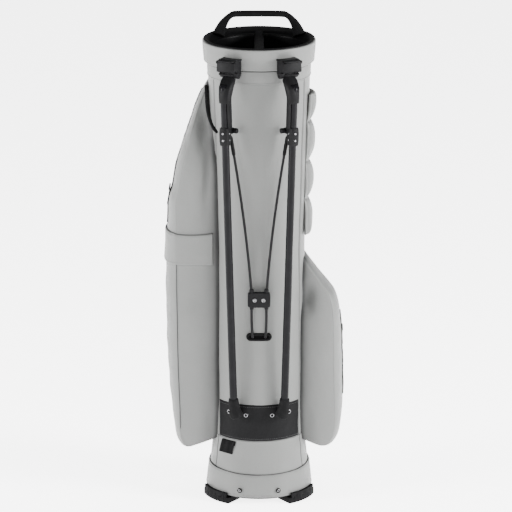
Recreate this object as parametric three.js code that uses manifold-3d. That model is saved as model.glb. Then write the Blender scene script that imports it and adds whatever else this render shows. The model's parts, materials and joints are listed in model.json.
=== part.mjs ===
// A golf stand bag: a tapered tube with a moulded rim, side pockets, carrying straps and two legs that
// swing out when the sprung boot under the tube is pressed. Millimetres, +Z up. The legs are on the -Y side.
// An azimuth is measured from -Y towards +X, and a local frame's outward direction is its own -Y.
import * as THREE from "three";
import { mergeVertices } from "three/addons/utils/BufferGeometryUtils.js";
import Module from "manifold-3d";

const wasm = await Module();
wasm.setup();

// ---- Driving dimensions ------------------------------------------------------------------------

const GAP = 0.35; // between pieces that touch
const RUNNING = 0.3; // radial clearance of a pin in its hole

// Tube
const TUBE_BOTTOM = 52;
const TUBE_TOP = 836;
const TUBE_WAIST = 480; // height below which the tube is straight
const TUBE_RADIUS = 84.5; // outside, up to the waist
const TUBE_TOP_RADIUS = 95;
const TUBE_WALL = 3;
const TUBE_SIDES = 36;

// Rim and its covers
const RIM_HEIGHT = 40; // above the top of the tube
const RIM_RADIUS = 104.8;
const RIM_MOUTH_RADIUS = 82.5;
const RIM_SKIRT = 18; // depth that the rim plugs into the tube
const CUFF_WALL = 4.5;
const NECK_BAND_HEIGHT = 26;
const NECK_BAND_WALL = 2;
const DIVIDER_BAR = { width: 15, height: 20 };
const DIVIDER_SHEET = 2.4;

// Lift handle over the rear half of the rim
const HANDLE_HALF_SPAN = 70;
const HANDLE_RISE = 33; // above the rim
const HANDLE_Y = 60;
const HANDLE_BAND = { width: 26, thickness: 6 };
const GRIP = { length: 84, width: 30, height: 10.5 };

// Boot, the sprung base that the bag stands on
const FOOT_HEIGHT = 10.7;
const BOOT_FLOOR = 3.5;
const BOOT_RADIUS = 100.3; // at its widest, near the floor
const BOOT_TOP_RADIUS = 94.5;
const BOOT_TOP = 64; // height of its open edge at the sides
const BOOT_EDGE_SLOPE = 0.06; // the edge rises towards the rear
const BOOT_SKIN = 2.5;
const BOOT_WALL = 2.5;
const BOOT_HINGE = { y: 62, z: 45, pinRadius: 3, lugRadius: 6, lugThickness: 8 };
const CUP_HEIGHT = 20; // of the moulded cup in the tube's lower end
const CUP_LUG_X = 38;
const FOOT_RADIUS = 105.5;
const FOOT_AZIMUTH = 56; // middle of a foot, from the front or from the rear
const FOOT_SPAN = 46;
const SCREW_HEAD_RADIUS = 4.2;

// Legs
const LEG_AZIMUTH = 28;
const PIVOT = { out: 112, z: 829, barrelRadius: 7, pinRadius: 2.5 };
const LEG_TUBE_RADIUS = 7;
const LEG_TUBE_WALL = 1.2;
const LEG_TOP = { side: 2.4, out: 133, z: 812 };
const LEG_BOTTOM = { side: -1.5, out: 103, z: 185 };
const CHEEK_GAP = 20; // between the bracket's cheeks
const BRACKET = { width: 36, top: 857, wallBottom: 834.5, front: 131.5, wall: 3.5 };
const CLAMP = { height: 33, drop: 97.5, halfWidth: 9.2 }; // drop is from the leg's top to the clamp's middle
const ROD_PIN = { back: 16.2, rise: 8, radius: 2.5, headRadius: 5, headLength: 9 }; // from the clamp's middle
const RUBBER_FOOT = { length: 36, radius: 12.5 };

// Actuator: a bridge in front of the tube, two flexible rods up to the legs, and a yoke down to the boot
const BRIDGE = { z: 401, y: -100, width: 42, height: 28, thickness: 11 };
const ROD_RADIUS = 2.5;
const ROD_SPREAD = 13.7; // half the distance between the rods at the bridge
const EYE = {
  thickness: 4,
  halfWidth: 5.6,
  halfLength: 10,
  slotHalfWidth: 3.9,
  slotHalfLength: 7.6,
  room: 2.4, // on each side, between the eye and the clamp's lugs
};
const SLOT = { z: 325, width: 46, height: 15, holeWidth: 38, holeHeight: 9 };
const YOKE = { spread: 12, y: -73, radius: 2.5, barHeight: 7, barZ: 16.4 };

// Panel that the folded legs rest on
const REST_PANEL = { bottom: 122, top: 192, halfAzimuth: 62, thickness: 1.5 };

// Pockets: the largest distance from the tube's axis at each height, and the front-to-back half depth
const POCKET_WALL = 3;
const POCKET_SHIFT = 12; // how far the side pockets sit behind the middle
const POCKET_ROOT = 50; // a pocket's section starts this far from the axis, inside the tube
const LEFT_POCKET = {
  reach: [
    [88, 132], [100, 150], [130, 161], [285, 172], [470, 174],
    [573, 169], [640, 152], [724, 126], [785, 101],
  ],
  halfDepth: [[88, 38], [104, 48], [140, 50], [600, 50], [785, 30]],
};
const RIGHT_POCKET = {
  reach: [
    [88, 122], [98, 140], [130, 153], [199, 157], [286, 156],
    [348, 152], [385, 143], [418, 119], [465, 88],
  ],
  halfDepth: [[88, 38], [98, 47], [140, 50], [385, 50], [465, 38]],
};
const REAR_POCKET = {
  reach: [[106, 112], [122, 124], [180, 128], [350, 126], [392, 112]],
  halfDepth: [[106, 32], [122, 40], [350, 40], [392, 34]],
};
const POCKET_BAND = { bottom: 452, top: 513, thickness: 2.5, halfDepth: 53.5, reach: 177 };

// Quilted back pad
const PAD = { bottom: 500, top: 780, from: 70, to: 200, thickness: 6, crown: 8.5, channels: 4 };

// Carrying straps
const STRAP = { padWidth: 56, padThickness: 12, webWidth: 28, webThickness: 2.6, topZ: 800, bottomZ: 436 };

// ---- Materials -----------------------------------------------------------------------------------

const material = (color, roughness, metalness = 0) =>
  new THREE.MeshStandardMaterial({ color, roughness, metalness });
const LEATHER = material(0xa9aba8, 0.62);
const BLACK_LEATHER = material(0x222223, 0.6);
const PLASTIC = material(0x1c1c1d, 0.5);
const RUBBER = material(0x111111, 0.85);
const WEBBING = material(0x161616, 0.9);
const LEG_ENAMEL = material(0x0c0c0d, 0.25, 0.4);
const STEEL = material(0xb9babc, 0.3, 1);
const LINING = material(0x0f0f10, 0.95);
const FIBREGLASS = material(0x101011, 0.35);

// ---- Shape helpers -------------------------------------------------------------------------------

const radians = THREE.MathUtils.degToRad;

// Position-only, merged copy of a geometry.
function bare(geometry) {
  const flat = geometry.index ? geometry.toNonIndexed() : geometry;
  const plain = new THREE.BufferGeometry().setAttribute("position", flat.getAttribute("position"));
  return mergeVertices(plain, 1e-3);
}

function solid(geometry) {
  const merged = bare(geometry);
  return new wasm.Manifold(
    new wasm.Mesh({
      numProp: 3,
      vertProperties: merged.attributes.position.array,
      triVerts: new Uint32Array(merged.index.array),
    }),
  );
}

function geometryOf(shape) {
  const mesh = shape.getMesh();
  const geometry = new THREE.BufferGeometry()
    .setAttribute("position", new THREE.BufferAttribute(mesh.vertProperties, 3))
    .setIndex(new THREE.BufferAttribute(mesh.triVerts, 1));
  geometry.computeVertexNormals();
  return geometry;
}

const join = (...shapes) => geometryOf(shapes.map(solid).reduce((a, b) => a.add(b)));
const cut = (shape, ...tools) => geometryOf(tools.map(solid).reduce((a, b) => a.subtract(b), solid(shape)));
const common = (a, b) => geometryOf(solid(a).intersect(solid(b)));

const block = (x0, x1, y0, y1, z0, z1) =>
  new THREE.BoxGeometry(x1 - x0, y1 - y0, z1 - z0).translate((x0 + x1) / 2, (y0 + y1) / 2, (z0 + z1) / 2);

const rodX = (radius, x0, x1, y, z, sides = 20) =>
  new THREE.CylinderGeometry(radius, radius, x1 - x0, sides)
    .rotateZ(Math.PI / 2)
    .translate((x0 + x1) / 2, y, z);

const rodY = (radius, y0, y1, x, z, sides = 20) =>
  new THREE.CylinderGeometry(radius, radius, y1 - y0, sides).translate(x, (y0 + y1) / 2, z);

const rodZ = (radius, z0, z1, x = 0, y = 0, sides = 20) =>
  new THREE.CylinderGeometry(radius, radius, z1 - z0, sides)
    .rotateX(Math.PI / 2)
    .translate(x, y, (z0 + z1) / 2);

// A closed outline of [radius, height] points turned round Z.
// A closed ring's outline repeats its first point.
function turned(outline, sides = TUBE_SIDES) {
  const points = outline.map(([r, z]) => new THREE.Vector2(r, z));
  if (outline[0][0] > 0) points.push(points[0].clone());
  if (THREE.ShapeUtils.area(points) < 0) points.reverse();
  return new THREE.LatheGeometry(points, sides).rotateX(Math.PI / 2);
}

// Lofts a round bar into a solid: place(x, y, t) gives the point for (x, y) in the unit disc
// and t from 0 to 1.
function loft(sides, levels, place) {
  const geometry = new THREE.CylinderGeometry(1, 1, 1, sides, levels).rotateX(Math.PI / 2);
  const position = geometry.getAttribute("position");
  for (let i = 0; i < position.count; i++) {
    const p = place(position.getX(i), position.getY(i), position.getZ(i) + 0.5);
    position.setXYZ(i, p.x, p.y, p.z);
  }
  return facingOut(geometry);
}

// Bends a divided box into a solid: place(u, v, w) gives the point for u, v and w from 0 to 1.
function bent(nu, nv, nw, place) {
  const geometry = new THREE.BoxGeometry(1, 1, 1, nu, nv, nw);
  const position = geometry.getAttribute("position");
  for (let i = 0; i < position.count; i++) {
    const p = place(position.getX(i) + 0.5, position.getY(i) + 0.5, position.getZ(i) + 0.5);
    position.setXYZ(i, p.x, p.y, p.z);
  }
  return facingOut(geometry);
}

function facingOut(geometry) {
  if (signedVolume(geometry) < 0) {
    const index = geometry.index.array;
    for (let i = 0; i < index.length; i += 3) [index[i + 1], index[i + 2]] = [index[i + 2], index[i + 1]];
  }
  geometry.computeVertexNormals();
  return geometry;
}

function signedVolume(geometry) {
  const [a, b, c] = [new THREE.Vector3(), new THREE.Vector3(), new THREE.Vector3()];
  const { index, attributes } = geometry;
  let sum = 0;
  for (let i = 0; i < index.count; i += 3) {
    a.fromBufferAttribute(attributes.position, index.getX(i));
    b.fromBufferAttribute(attributes.position, index.getX(i + 1));
    c.fromBufferAttribute(attributes.position, index.getX(i + 2));
    sum += a.dot(b.cross(c));
  }
  return sum / 6;
}

// Pushes a point of the unit disc out towards a square: power 2 leaves the circle, 4 is a squared oval.
function squared(x, y, power) {
  const r = Math.hypot(x, y);
  if (r < 1e-6) return [0, 0];
  const grow = 1 / (Math.abs(x / r) ** power + Math.abs(y / r) ** power) ** (1 / power);
  return [x * grow, y * grow];
}

// Straight-line interpolation in a list of [key, value] pairs with rising keys.
function between(table, key) {
  const next = table.findIndex(([k]) => k >= key);
  if (next < 0) return table[table.length - 1][1];
  if (next === 0) return table[0][1];
  const [[k0, v0], [k1, v1]] = [table[next - 1], table[next]];
  return THREE.MathUtils.mapLinear(key, k0, k1, v0, v1);
}

const polar = (azimuth, radius, z) =>
  new THREE.Vector3(radius * Math.sin(radians(azimuth)), -radius * Math.cos(radians(azimuth)), z);

// A bar of constant section along a curve.
function bar(shape, points, steps, tension = 0.5) {
  const path = new THREE.CatmullRomCurve3(points, false, "catmullrom", tension);
  return new THREE.ExtrudeGeometry(shape, { steps, extrudePath: path, bevelEnabled: false });
}

function roundShape(radius, sides) {
  const points = Array.from({ length: sides }, (_, i) => {
    const a = (2 * Math.PI * i) / sides;
    return new THREE.Vector2(radius * Math.cos(a), radius * Math.sin(a));
  });
  return new THREE.Shape(points);
}

function ovalShape(halfWidth, halfHeight) {
  const r = Math.min(halfWidth, halfHeight);
  const shape = new THREE.Shape();
  if (halfWidth > halfHeight) {
    shape.absarc(halfWidth - r, 0, r, -Math.PI / 2, Math.PI / 2, false);
    shape.absarc(r - halfWidth, 0, r, Math.PI / 2, (3 * Math.PI) / 2, false);
  } else {
    shape.absarc(0, halfHeight - r, r, 0, Math.PI, false);
    shape.absarc(0, r - halfHeight, r, Math.PI, 2 * Math.PI, false);
  }
  return shape;
}

const slab = (shape, depth, curveSegments = 8) =>
  new THREE.ExtrudeGeometry(shape, { depth, bevelEnabled: false, curveSegments });

// A ring sector seen from above, between two radii and two azimuths.
function sector(inner, outer, from, to, z0, z1, curveSegments = 16) {
  const shape = new THREE.Shape();
  const turn = (azimuth) => radians(azimuth - 90);
  shape.absarc(0, 0, outer, turn(from), turn(to), false);
  shape.absarc(0, 0, inner, turn(to), turn(from), true);
  return slab(shape, z1 - z0, curveSegments).translate(0, 0, z0);
}

function piece(parent, name, geometry, look) {
  const mesh = new THREE.Mesh(geometry, look);
  mesh.name = name;
  parent.add(mesh);
  return mesh;
}

// ---- Tube, rim and lining ------------------------------------------------------------------------

function tubeRadius(z) {
  const share = THREE.MathUtils.clamp((z - TUBE_WAIST) / (TUBE_TOP - TUBE_WAIST), 0, 1);
  return TUBE_RADIUS + share * (TUBE_TOP_RADIUS - TUBE_RADIUS);
}

// The tube's outside, grown by a clearance, as a cutting tool.
const tubeOutside = (clearance, from = 0, to = TUBE_TOP + RIM_HEIGHT) =>
  turned(
    [
      [0, from],
      [TUBE_RADIUS + clearance, from],
      [TUBE_RADIUS + clearance, TUBE_WAIST],
      [TUBE_TOP_RADIUS + clearance, TUBE_TOP],
      [TUBE_TOP_RADIUS + clearance, to],
      [0, to],
    ],
    TUBE_SIDES,
  );

function tube() {
  const shell = turned([
    [TUBE_RADIUS - TUBE_WALL, TUBE_BOTTOM],
    [TUBE_RADIUS, TUBE_BOTTOM],
    [TUBE_RADIUS, TUBE_WAIST],
    [TUBE_TOP_RADIUS, TUBE_TOP],
    [TUBE_TOP_RADIUS - TUBE_WALL, TUBE_TOP],
    [TUBE_RADIUS - TUBE_WALL, TUBE_WAIST],
  ]);
  const hole = slab(ovalShape(SLOT.holeWidth / 2 + 1, SLOT.holeHeight / 2 + 1), TUBE_RADIUS)
    .rotateX(Math.PI / 2)
    .translate(0, -TUBE_RADIUS / 2, SLOT.z);
  return cut(shell, hole);
}

function rim() {
  const top = TUBE_TOP + RIM_HEIGHT;
  const plug = TUBE_TOP_RADIUS - TUBE_WALL - GAP - 1;
  const seat = RIM_RADIUS - CUFF_WALL - GAP;
  const ring = turned([
    [plug - 5, TUBE_TOP - RIM_SKIRT],
    [plug, TUBE_TOP - RIM_SKIRT],
    [plug, TUBE_TOP + GAP],
    [seat, TUBE_TOP + GAP],
    [seat, top - 3.5],
    [RIM_RADIUS, top - 3.5],
    [RIM_RADIUS, top - 1.5],
    [RIM_RADIUS - 3, top],
    [RIM_RADIUS - 8, top],
    [RIM_MOUTH_RADIUS, top - 9],
  ]);
  const half = DIVIDER_BAR.width / 2;
  const crown = loft(12, 1, (x, y, t) => {
    const [u, v] = squared(x, y, 4);
    return new THREE.Vector3(u * half, (t - 0.5) * 2 * (RIM_MOUTH_RADIUS + 4), v * (DIVIDER_BAR.height / 2));
  }).translate(0, 0, top - 8 - DIVIDER_BAR.height / 2);
  return join(ring, crown);
}

function cuff() {
  const top = TUBE_TOP + RIM_HEIGHT - 3.5 - GAP;
  const inner = RIM_RADIUS - CUFF_WALL;
  return turned([
    [inner, TUBE_TOP - 3],
    [inner + 1.5, TUBE_TOP - 3],
    [RIM_RADIUS - 0.3, TUBE_TOP + 5],
    [RIM_RADIUS - 0.3, top],
    [inner, top],
  ]);
}

function neckBand() {
  const low = TUBE_TOP - 4 - NECK_BAND_HEIGHT;
  const high = TUBE_TOP - 4;
  return turned([
    [tubeRadius(low) + GAP, low],
    [tubeRadius(low) + GAP + NECK_BAND_WALL, low],
    [tubeRadius(high) + GAP + NECK_BAND_WALL, high],
    [tubeRadius(high) + GAP, high],
  ]);
}

// The sheet that parts the clubs, hung from the divider bar and reaching down to the base.
function dividerSheet() {
  const inside = TUBE_RADIUS - TUBE_WALL - 2;
  const top = TUBE_TOP + RIM_HEIGHT - 8 - DIVIDER_BAR.height - GAP;
  return block(-DIVIDER_SHEET / 2, DIVIDER_SHEET / 2, -inside, inside, TUBE_BOTTOM + CUP_HEIGHT + 4, top);
}

function lowerCup() {
  const radius = TUBE_RADIUS - TUBE_WALL - GAP;
  const { y, z, pinRadius, lugRadius, lugThickness } = BOOT_HINGE;
  const base = TUBE_BOTTOM + 1;
  const lip = base + CUP_HEIGHT;
  const bore = radius - 2.5;
  const outline = [[0, base], [radius, base], [radius, lip], [bore, lip], [bore, base + 4], [0, base + 4]];
  const lugs = [-1, 1].flatMap((side) => {
    const x0 = side * CUP_LUG_X - lugThickness / 2;
    return [
      block(x0, x0 + lugThickness, y - lugRadius, y + lugRadius, z, base + 1),
      rodX(lugRadius, x0, x0 + lugThickness, y, z),
    ];
  });
  const holes = [
    rodX(pinRadius + RUNNING, -TUBE_RADIUS, TUBE_RADIUS, y, z),
    ...[-1, 1].map((side) => rodZ(YOKE.radius + 1.5, base - 10, base + 30, side * YOKE.spread, YOKE.y, 16)),
  ];
  return cut(join(turned(outline), ...lugs), ...holes);
}

function buildTube(bag) {
  piece(bag, "body_tube", tube(), LEATHER);
  piece(bag, "rim_moulding", rim(), PLASTIC);
  piece(bag, "cuff_cover", cuff(), LEATHER);
  piece(bag, "neck_band", neckBand(), LEATHER);
  piece(bag, "divider_sheet", dividerSheet(), LINING);
  piece(bag, "lower_cup", lowerCup(), PLASTIC);
}

// ---- Lift handle ---------------------------------------------------------------------------------

function handleCurve() {
  const top = TUBE_TOP + RIM_HEIGHT;
  const rise = top + HANDLE_RISE - HANDLE_BAND.thickness / 2;
  const half = [
    new THREE.Vector3(HANDLE_HALF_SPAN + 3, HANDLE_Y - 6, top + 0.6),
    new THREE.Vector3(HANDLE_HALF_SPAN - 6, HANDLE_Y, top + HANDLE_RISE * 0.55),
    new THREE.Vector3(HANDLE_HALF_SPAN - 20, HANDLE_Y + 6, rise - 4),
    new THREE.Vector3(HANDLE_HALF_SPAN - 38, HANDLE_Y + 8, rise),
  ];
  const other = half.map((p) => new THREE.Vector3(-p.x, p.y, p.z)).reverse();
  return new THREE.CatmullRomCurve3([...half, ...other]);
}

// A flat band along a curve that lies near the XZ plane: width is along Y.
function flatBand(curve, from, to, halfWidth, halfThickness, levels, flare = 0) {
  return loft(8, levels, (x, y, t) => {
    const at = THREE.MathUtils.lerp(from, to, t);
    const p = curve.getPoint(at);
    const along = curve.getTangent(at);
    const normal = new THREE.Vector3(-along.z, 0, along.x).normalize();
    const [u, v] = squared(x, y, 4);
    const end = Math.abs(2 * at - 1) ** 8;
    const across = new THREE.Vector3(0, v * halfWidth, 0);
    return p.addScaledVector(normal, u * (halfThickness + flare * end)).add(across);
  });
}

function buildHandle(bag) {
  const curve = handleCurve();
  const half = GRIP.length / 2 / curve.getLength();
  const { width, thickness } = HANDLE_BAND;
  const floor = TUBE_TOP + RIM_HEIGHT + GAP;
  const core = flatBand(curve, 0, 1, width / 2, thickness / 2, 20, 3);
  const [from, to] = [0.5 - half - 0.01, 0.5 + half + 0.01];
  const hollow = flatBand(curve, from, to, width / 2 + GAP, thickness / 2 + GAP, 8);
  const grip = flatBand(curve, 0.5 - half, 0.5 + half, GRIP.width / 2, GRIP.height / 2, 8);
  piece(bag, "lift_handle", cut(core, block(-120, 120, 0, 120, floor - 20, floor)), WEBBING);
  piece(bag, "handle_grip", cut(grip, hollow), RUBBER);
}

// ---- Boot ----------------------------------------------------------------------------------------

const bootFloorTop = FOOT_HEIGHT + GAP + BOOT_FLOOR;

// Shears a turned shape so that its open edge follows the boot's slope: the floor stays level.
function slopeEdge(geometry, floor) {
  const position = geometry.getAttribute("position");
  for (let i = 0; i < position.count; i++) {
    const share = Math.max(0, (position.getZ(i) - floor) / (BOOT_TOP - floor));
    position.setZ(i, position.getZ(i) + share * BOOT_EDGE_SLOPE * position.getY(i));
  }
  return geometry;
}

function bootShell() {
  const { y, z, pinRadius, lugRadius, lugThickness } = BOOT_HINGE;
  const floor = FOOT_HEIGHT + GAP;
  const wide = BOOT_RADIUS - BOOT_SKIN - 2 * GAP;
  const wallTop = 42;
  const topRadius = BOOT_TOP_RADIUS - BOOT_SKIN - 2 * GAP;
  const narrow = THREE.MathUtils.mapLinear(wallTop, 24, BOOT_TOP, wide, topRadius);
  const cup = turned([
    [0, floor],
    [wide - 3, floor],
    [wide - 1, bootFloorTop],
    [wide, 24],
    [narrow, wallTop],
    [narrow - BOOT_WALL, wallTop],
    [wide - BOOT_WALL, 24],
    [wide - BOOT_WALL - 1, bootFloorTop],
    [0, bootFloorTop],
  ]);
  const lugs = [-1, 1].flatMap((side) => {
    const middle = side * (CUP_LUG_X + lugThickness + 1.5);
    const x0 = middle - lugThickness / 2;
    return [
      block(x0, x0 + lugThickness, y - lugRadius, y + lugRadius, bootFloorTop - 1, z),
      rodX(lugRadius, x0, x0 + lugThickness, y, z),
    ];
  });
  const pinHole = rodX(pinRadius + RUNNING, -TUBE_RADIUS, TUBE_RADIUS, y, z);
  return cut(join(cup, ...lugs), pinHole);
}

function bootSkin() {
  const floor = FOOT_HEIGHT + GAP + 3;
  const skin = turned([
    [BOOT_RADIUS - BOOT_SKIN - 0.6, floor],
    [BOOT_RADIUS - 0.6, floor],
    [BOOT_RADIUS, 24],
    [BOOT_TOP_RADIUS, BOOT_TOP],
    [BOOT_TOP_RADIUS - BOOT_SKIN, BOOT_TOP],
    [BOOT_RADIUS - BOOT_SKIN, 24],
  ]);
  return slopeEdge(skin, 24);
}

function bootFoot(azimuth) {
  const [from, to] = [azimuth - FOOT_SPAN / 2, azimuth + FOOT_SPAN / 2];
  const lip = BOOT_RADIUS + GAP;
  return join(
    sector(66, FOOT_RADIUS, from, to, 0, FOOT_HEIGHT, 10),
    sector(lip, FOOT_RADIUS, from + 3, to - 3, FOOT_HEIGHT - 1, FOOT_HEIGHT + 9, 10),
  );
}

function screw(azimuth, z, radius) {
  return rodY(SCREW_HEAD_RADIUS, -radius - 2, -radius, 0, 0, 16)
    .rotateZ(radians(azimuth))
    .translate(0, 0, z);
}

function buildBoot(boot) {
  const { y, z, pinRadius } = BOOT_HINGE;
  const reach = CUP_LUG_X + 1.5 * BOOT_HINGE.lugThickness + 3;
  piece(boot, "boot_shell", bootShell(), PLASTIC);
  piece(boot, "boot_skin", bootSkin(), LEATHER);
  piece(boot, "boot_hinge_pin", rodX(pinRadius, -reach, reach, y, z), STEEL);
  piece(boot, "rear_foot", bootFoot(180), RUBBER);
  for (const [name, side] of SIDES) {
    piece(boot, `front_foot_${name}`, bootFoot(side * FOOT_AZIMUTH), RUBBER);
    piece(boot, `boot_screw_${name}`, screw(side * 21, 28, BOOT_RADIUS + GAP), STEEL);
  }
}

// ---- Leg brackets and legs -----------------------------------------------------------------------

// Built in a frame turned to the leg's azimuth: x is along the hinge pin, -y is outward.
function bracket() {
  const { width, top, wallBottom, front, wall } = BRACKET;
  const half = width / 2;
  const inside = RIM_RADIUS + GAP;
  const outline = new THREE.Shape([
    new THREE.Vector2(inside - 8, top - 1),
    new THREE.Vector2(front - 9, top),
    new THREE.Vector2(front - 1.5, top - 5),
    new THREE.Vector2(front, wallBottom + 2),
    new THREE.Vector2(front - 1, wallBottom),
    new THREE.Vector2(PIVOT.out + 8, PIVOT.z + 2),
  ]);
  outline.absarc(PIVOT.out, PIVOT.z, 8, 0, -Math.PI, true);
  outline.lineTo(inside - 8, PIVOT.z + 8);
  // the outline is drawn in (outward, up): turn it to stand in the plane across the pin
  const hood = slab(outline, width, 8).rotateX(Math.PI / 2).rotateZ(-Math.PI / 2).translate(half, 0, 0);
  const throat = block(-CHEEK_GAP / 2, CHEEK_GAP / 2, wall - front, 12 - inside, PIVOT.z - 30, top - 4);
  const pinHole = rodX(PIVOT.pinRadius + RUNNING, 1 - half, half - 1, -PIVOT.out, PIVOT.z);
  const cuffTool = turned([[0, TUBE_TOP - 5], [inside, TUBE_TOP - 5], [inside, top + 20], [0, top + 20]], 72);
  const neckRadius = TUBE_TOP_RADIUS + NECK_BAND_WALL + 2 * GAP;
  const neckTool = turned([[0, 700], [neckRadius, 700], [neckRadius, TUBE_TOP], [0, TUBE_TOP]], 72);
  return cut(hood, throat, pinHole, cuffTool, neckTool);
}

// Moves a shape built along Z onto the leg tube's axis, with z = 0 at the leg's top.
function onLeg(geometry) {
  const down = new THREE.Vector3(
    LEG_BOTTOM.side - LEG_TOP.side,
    LEG_TOP.out - LEG_BOTTOM.out,
    LEG_BOTTOM.z - LEG_TOP.z,
  ).normalize();
  const turn = new THREE.Quaternion().setFromUnitVectors(new THREE.Vector3(0, 0, -1), down);
  return geometry.applyQuaternion(turn).translate(LEG_TOP.side, -LEG_TOP.out, LEG_TOP.z);
}

function legLength() {
  return Math.hypot(LEG_BOTTOM.side - LEG_TOP.side, LEG_TOP.out - LEG_BOTTOM.out, LEG_TOP.z - LEG_BOTTOM.z);
}

// The hinge end: a barrel between the cheeks, a shoulder, a socket for the tube and a bracing bar.
function legCap() {
  const barrel = rodX(PIVOT.barrelRadius, 0.4 - CHEEK_GAP / 2, CHEEK_GAP / 2 - 0.4, -PIVOT.out, PIVOT.z);
  const path = [
    { z: PIVOT.z + 1, side: 0, out: PIVOT.out, half: 9.6, deep: 5 },
    { z: PIVOT.z - 11, side: 0, out: PIVOT.out + 8, half: 14, deep: 8 },
    { z: LEG_TOP.z - 6, side: 0, out: PIVOT.out + 16, half: 13.5, deep: 10.5 },
    { z: LEG_TOP.z - 22, side: LEG_TOP.side - 2, out: LEG_TOP.out - 2, half: 11.5, deep: 10 },
    { z: LEG_TOP.z - 34, side: LEG_TOP.side - 2, out: LEG_TOP.out - 2, half: 11, deep: 9 },
  ];
  const shoulder = loft(16, path.length - 1, (x, y, t) => {
    const p = path[path.length - 1 - Math.round(t * (path.length - 1))];
    const [u, v] = squared(x, y, 3);
    return new THREE.Vector3(p.side + u * p.half, -p.out + v * p.deep, p.z);
  });
  const brace = onLeg(block(-12.5, -7.9, -4, 5, GAP + CLAMP.height / 2 - CLAMP.drop, -20));
  const cheekRoom = [-1, 1].map((side) =>
    rodX(9, Math.min(side * 9.6, side * 30), Math.max(side * 9.6, side * 30), -PIVOT.out, PIVOT.z, 20),
  );
  const socket = onLeg(rodZ(LEG_TUBE_RADIUS + GAP, -80, 0.5, 0, 0, 20));
  const window = onLeg(block(-1, 20, -20, -2, -75, -38));
  const pinHole = rodX(PIVOT.pinRadius + RUNNING, -20, 20, -PIVOT.out, PIVOT.z);
  return cut(join(barrel, shoulder, brace), ...cheekRoom, socket, window, pinHole);
}

function legTube() {
  const bore = rodZ(LEG_TUBE_RADIUS - LEG_TUBE_WALL, -legLength() - 1, 1, 0, 0, 20);
  return onLeg(cut(rodZ(LEG_TUBE_RADIUS, -legLength(), 0, 0, 0, 20), bore));
}

// Grips the tube below the bracing bar. Two lugs behind the tube hold the pin of the flexible rod.
function clamp() {
  const { height, drop, halfWidth } = CLAMP;
  const middle = -drop;
  const body = loft(16, 4, (x, y, t) => {
    const [u, v] = squared(x, y, 5);
    const shrink = t === 0 || t === 1 ? 0.9 : 1;
    return new THREE.Vector3(u * halfWidth * shrink, v * halfWidth * shrink, middle + (t - 0.5) * height);
  });
  const pinZ = middle + ROD_PIN.rise;
  const from = EYE.thickness / 2 + EYE.room;
  const lugs = [-1, 1].flatMap((side) => {
    const [x0, x1] = [Math.min(side * from, side * (from + 3.4)), Math.max(side * from, side * (from + 3.4))];
    return [
      rodX(5.5, x0, x1, ROD_PIN.back, pinZ, 16),
      block(x0, x1, 6, ROD_PIN.back, pinZ - 5.5, pinZ + 5.5),
    ];
  });
  const bore = rodZ(LEG_TUBE_RADIUS + GAP, middle - height, middle + height, 0, 0, 20);
  const pinHole = rodX(ROD_PIN.radius + RUNNING, -30, from + 2.4, ROD_PIN.back, pinZ, 16);
  const eyeRoom = [
    block(-from, from, LEG_TUBE_RADIUS - 4, 40, pinZ - 30, pinZ + 30),
    block(-from - 1, from + 1, LEG_TUBE_RADIUS - 4, halfWidth + 0.2, pinZ - 30, pinZ + 30),
  ];
  return onLeg(cut(join(body, ...lugs), bore, pinHole, ...eyeRoom));
}

// Screwed in from the inner side of the leg, with a round head against the clamp.
function rodPin() {
  const pinZ = ROD_PIN.rise - CLAMP.drop;
  const { back, radius, headRadius, headLength } = ROD_PIN;
  const from = EYE.thickness / 2 + EYE.room + 3.4 + GAP;
  const knob = rodX(headRadius, -from - headLength, -from, back, pinZ, 16);
  return onLeg(join(rodX(radius, -from - 2, from - 1.8, back, pinZ, 16), knob));
}

function rubberFoot() {
  const { length, radius } = RUBBER_FOOT;
  const bottom = -legLength() - 14;
  const profile = [[0, 0.82], [0.06, 0.96], [0.2, 1], [0.55, 0.82], [0.9, 0.76], [1, 0.74]];
  const body = loft(16, 5, (x, y, t) => {
    const r = radius * between(profile, t);
    const lean = 5 * (1 - t) ** 2;
    return new THREE.Vector3(x * r - lean, y * r + lean * 0.4, bottom + t * length);
  });
  return onLeg(cut(body, rodZ(LEG_TUBE_RADIUS + GAP, -legLength() - GAP, 0, 0, 0, 20)));
}

const SIDES = [
  ["left", -1],
  ["right", 1],
];

// Everything above is the right-hand leg; the left one is its mirror image.
function mirrored(geometry, side) {
  if (side > 0) return geometry;
  return facingOut(bare(geometry).scale(-1, 1, 1));
}

function buildLegs(bag) {
  for (const [name, side] of SIDES) {
    const leg = new THREE.Group();
    leg.rotation.z = side * radians(LEG_AZIMUTH);
    bag.add(leg);
    const add = (label, geometry, look) => piece(leg, `${label}_${name}`, mirrored(geometry, side), look);
    const pinHalf = BRACKET.width / 2 - 1.4;
    add("leg_bracket", bracket(), PLASTIC);
    add("leg_pivot_pin", rodX(PIVOT.pinRadius, -pinHalf, pinHalf, -PIVOT.out, PIVOT.z, 16), STEEL);
    add("leg_cap", legCap(), PLASTIC);
    add("leg_tube", legTube(), LEG_ENAMEL);
    add("leg_clamp", clamp(), PLASTIC);
    add("rod_pin", rodPin(), PLASTIC);
    add("leg_foot", rubberFoot(), RUBBER);
  }
}

// ---- Actuator ------------------------------------------------------------------------------------

// Where the rod meets the pin on the folded leg, in the bag's frame, for the right-hand side.
function rodTop() {
  const point = new THREE.Mesh(onLeg(new THREE.BufferGeometry().setFromPoints([
    new THREE.Vector3(0, ROD_PIN.back, ROD_PIN.rise - CLAMP.drop),
  ])));
  return new THREE.Vector3()
    .fromBufferAttribute(point.geometry.getAttribute("position"), 0)
    .applyAxisAngle(new THREE.Vector3(0, 0, 1), radians(LEG_AZIMUTH));
}

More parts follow.
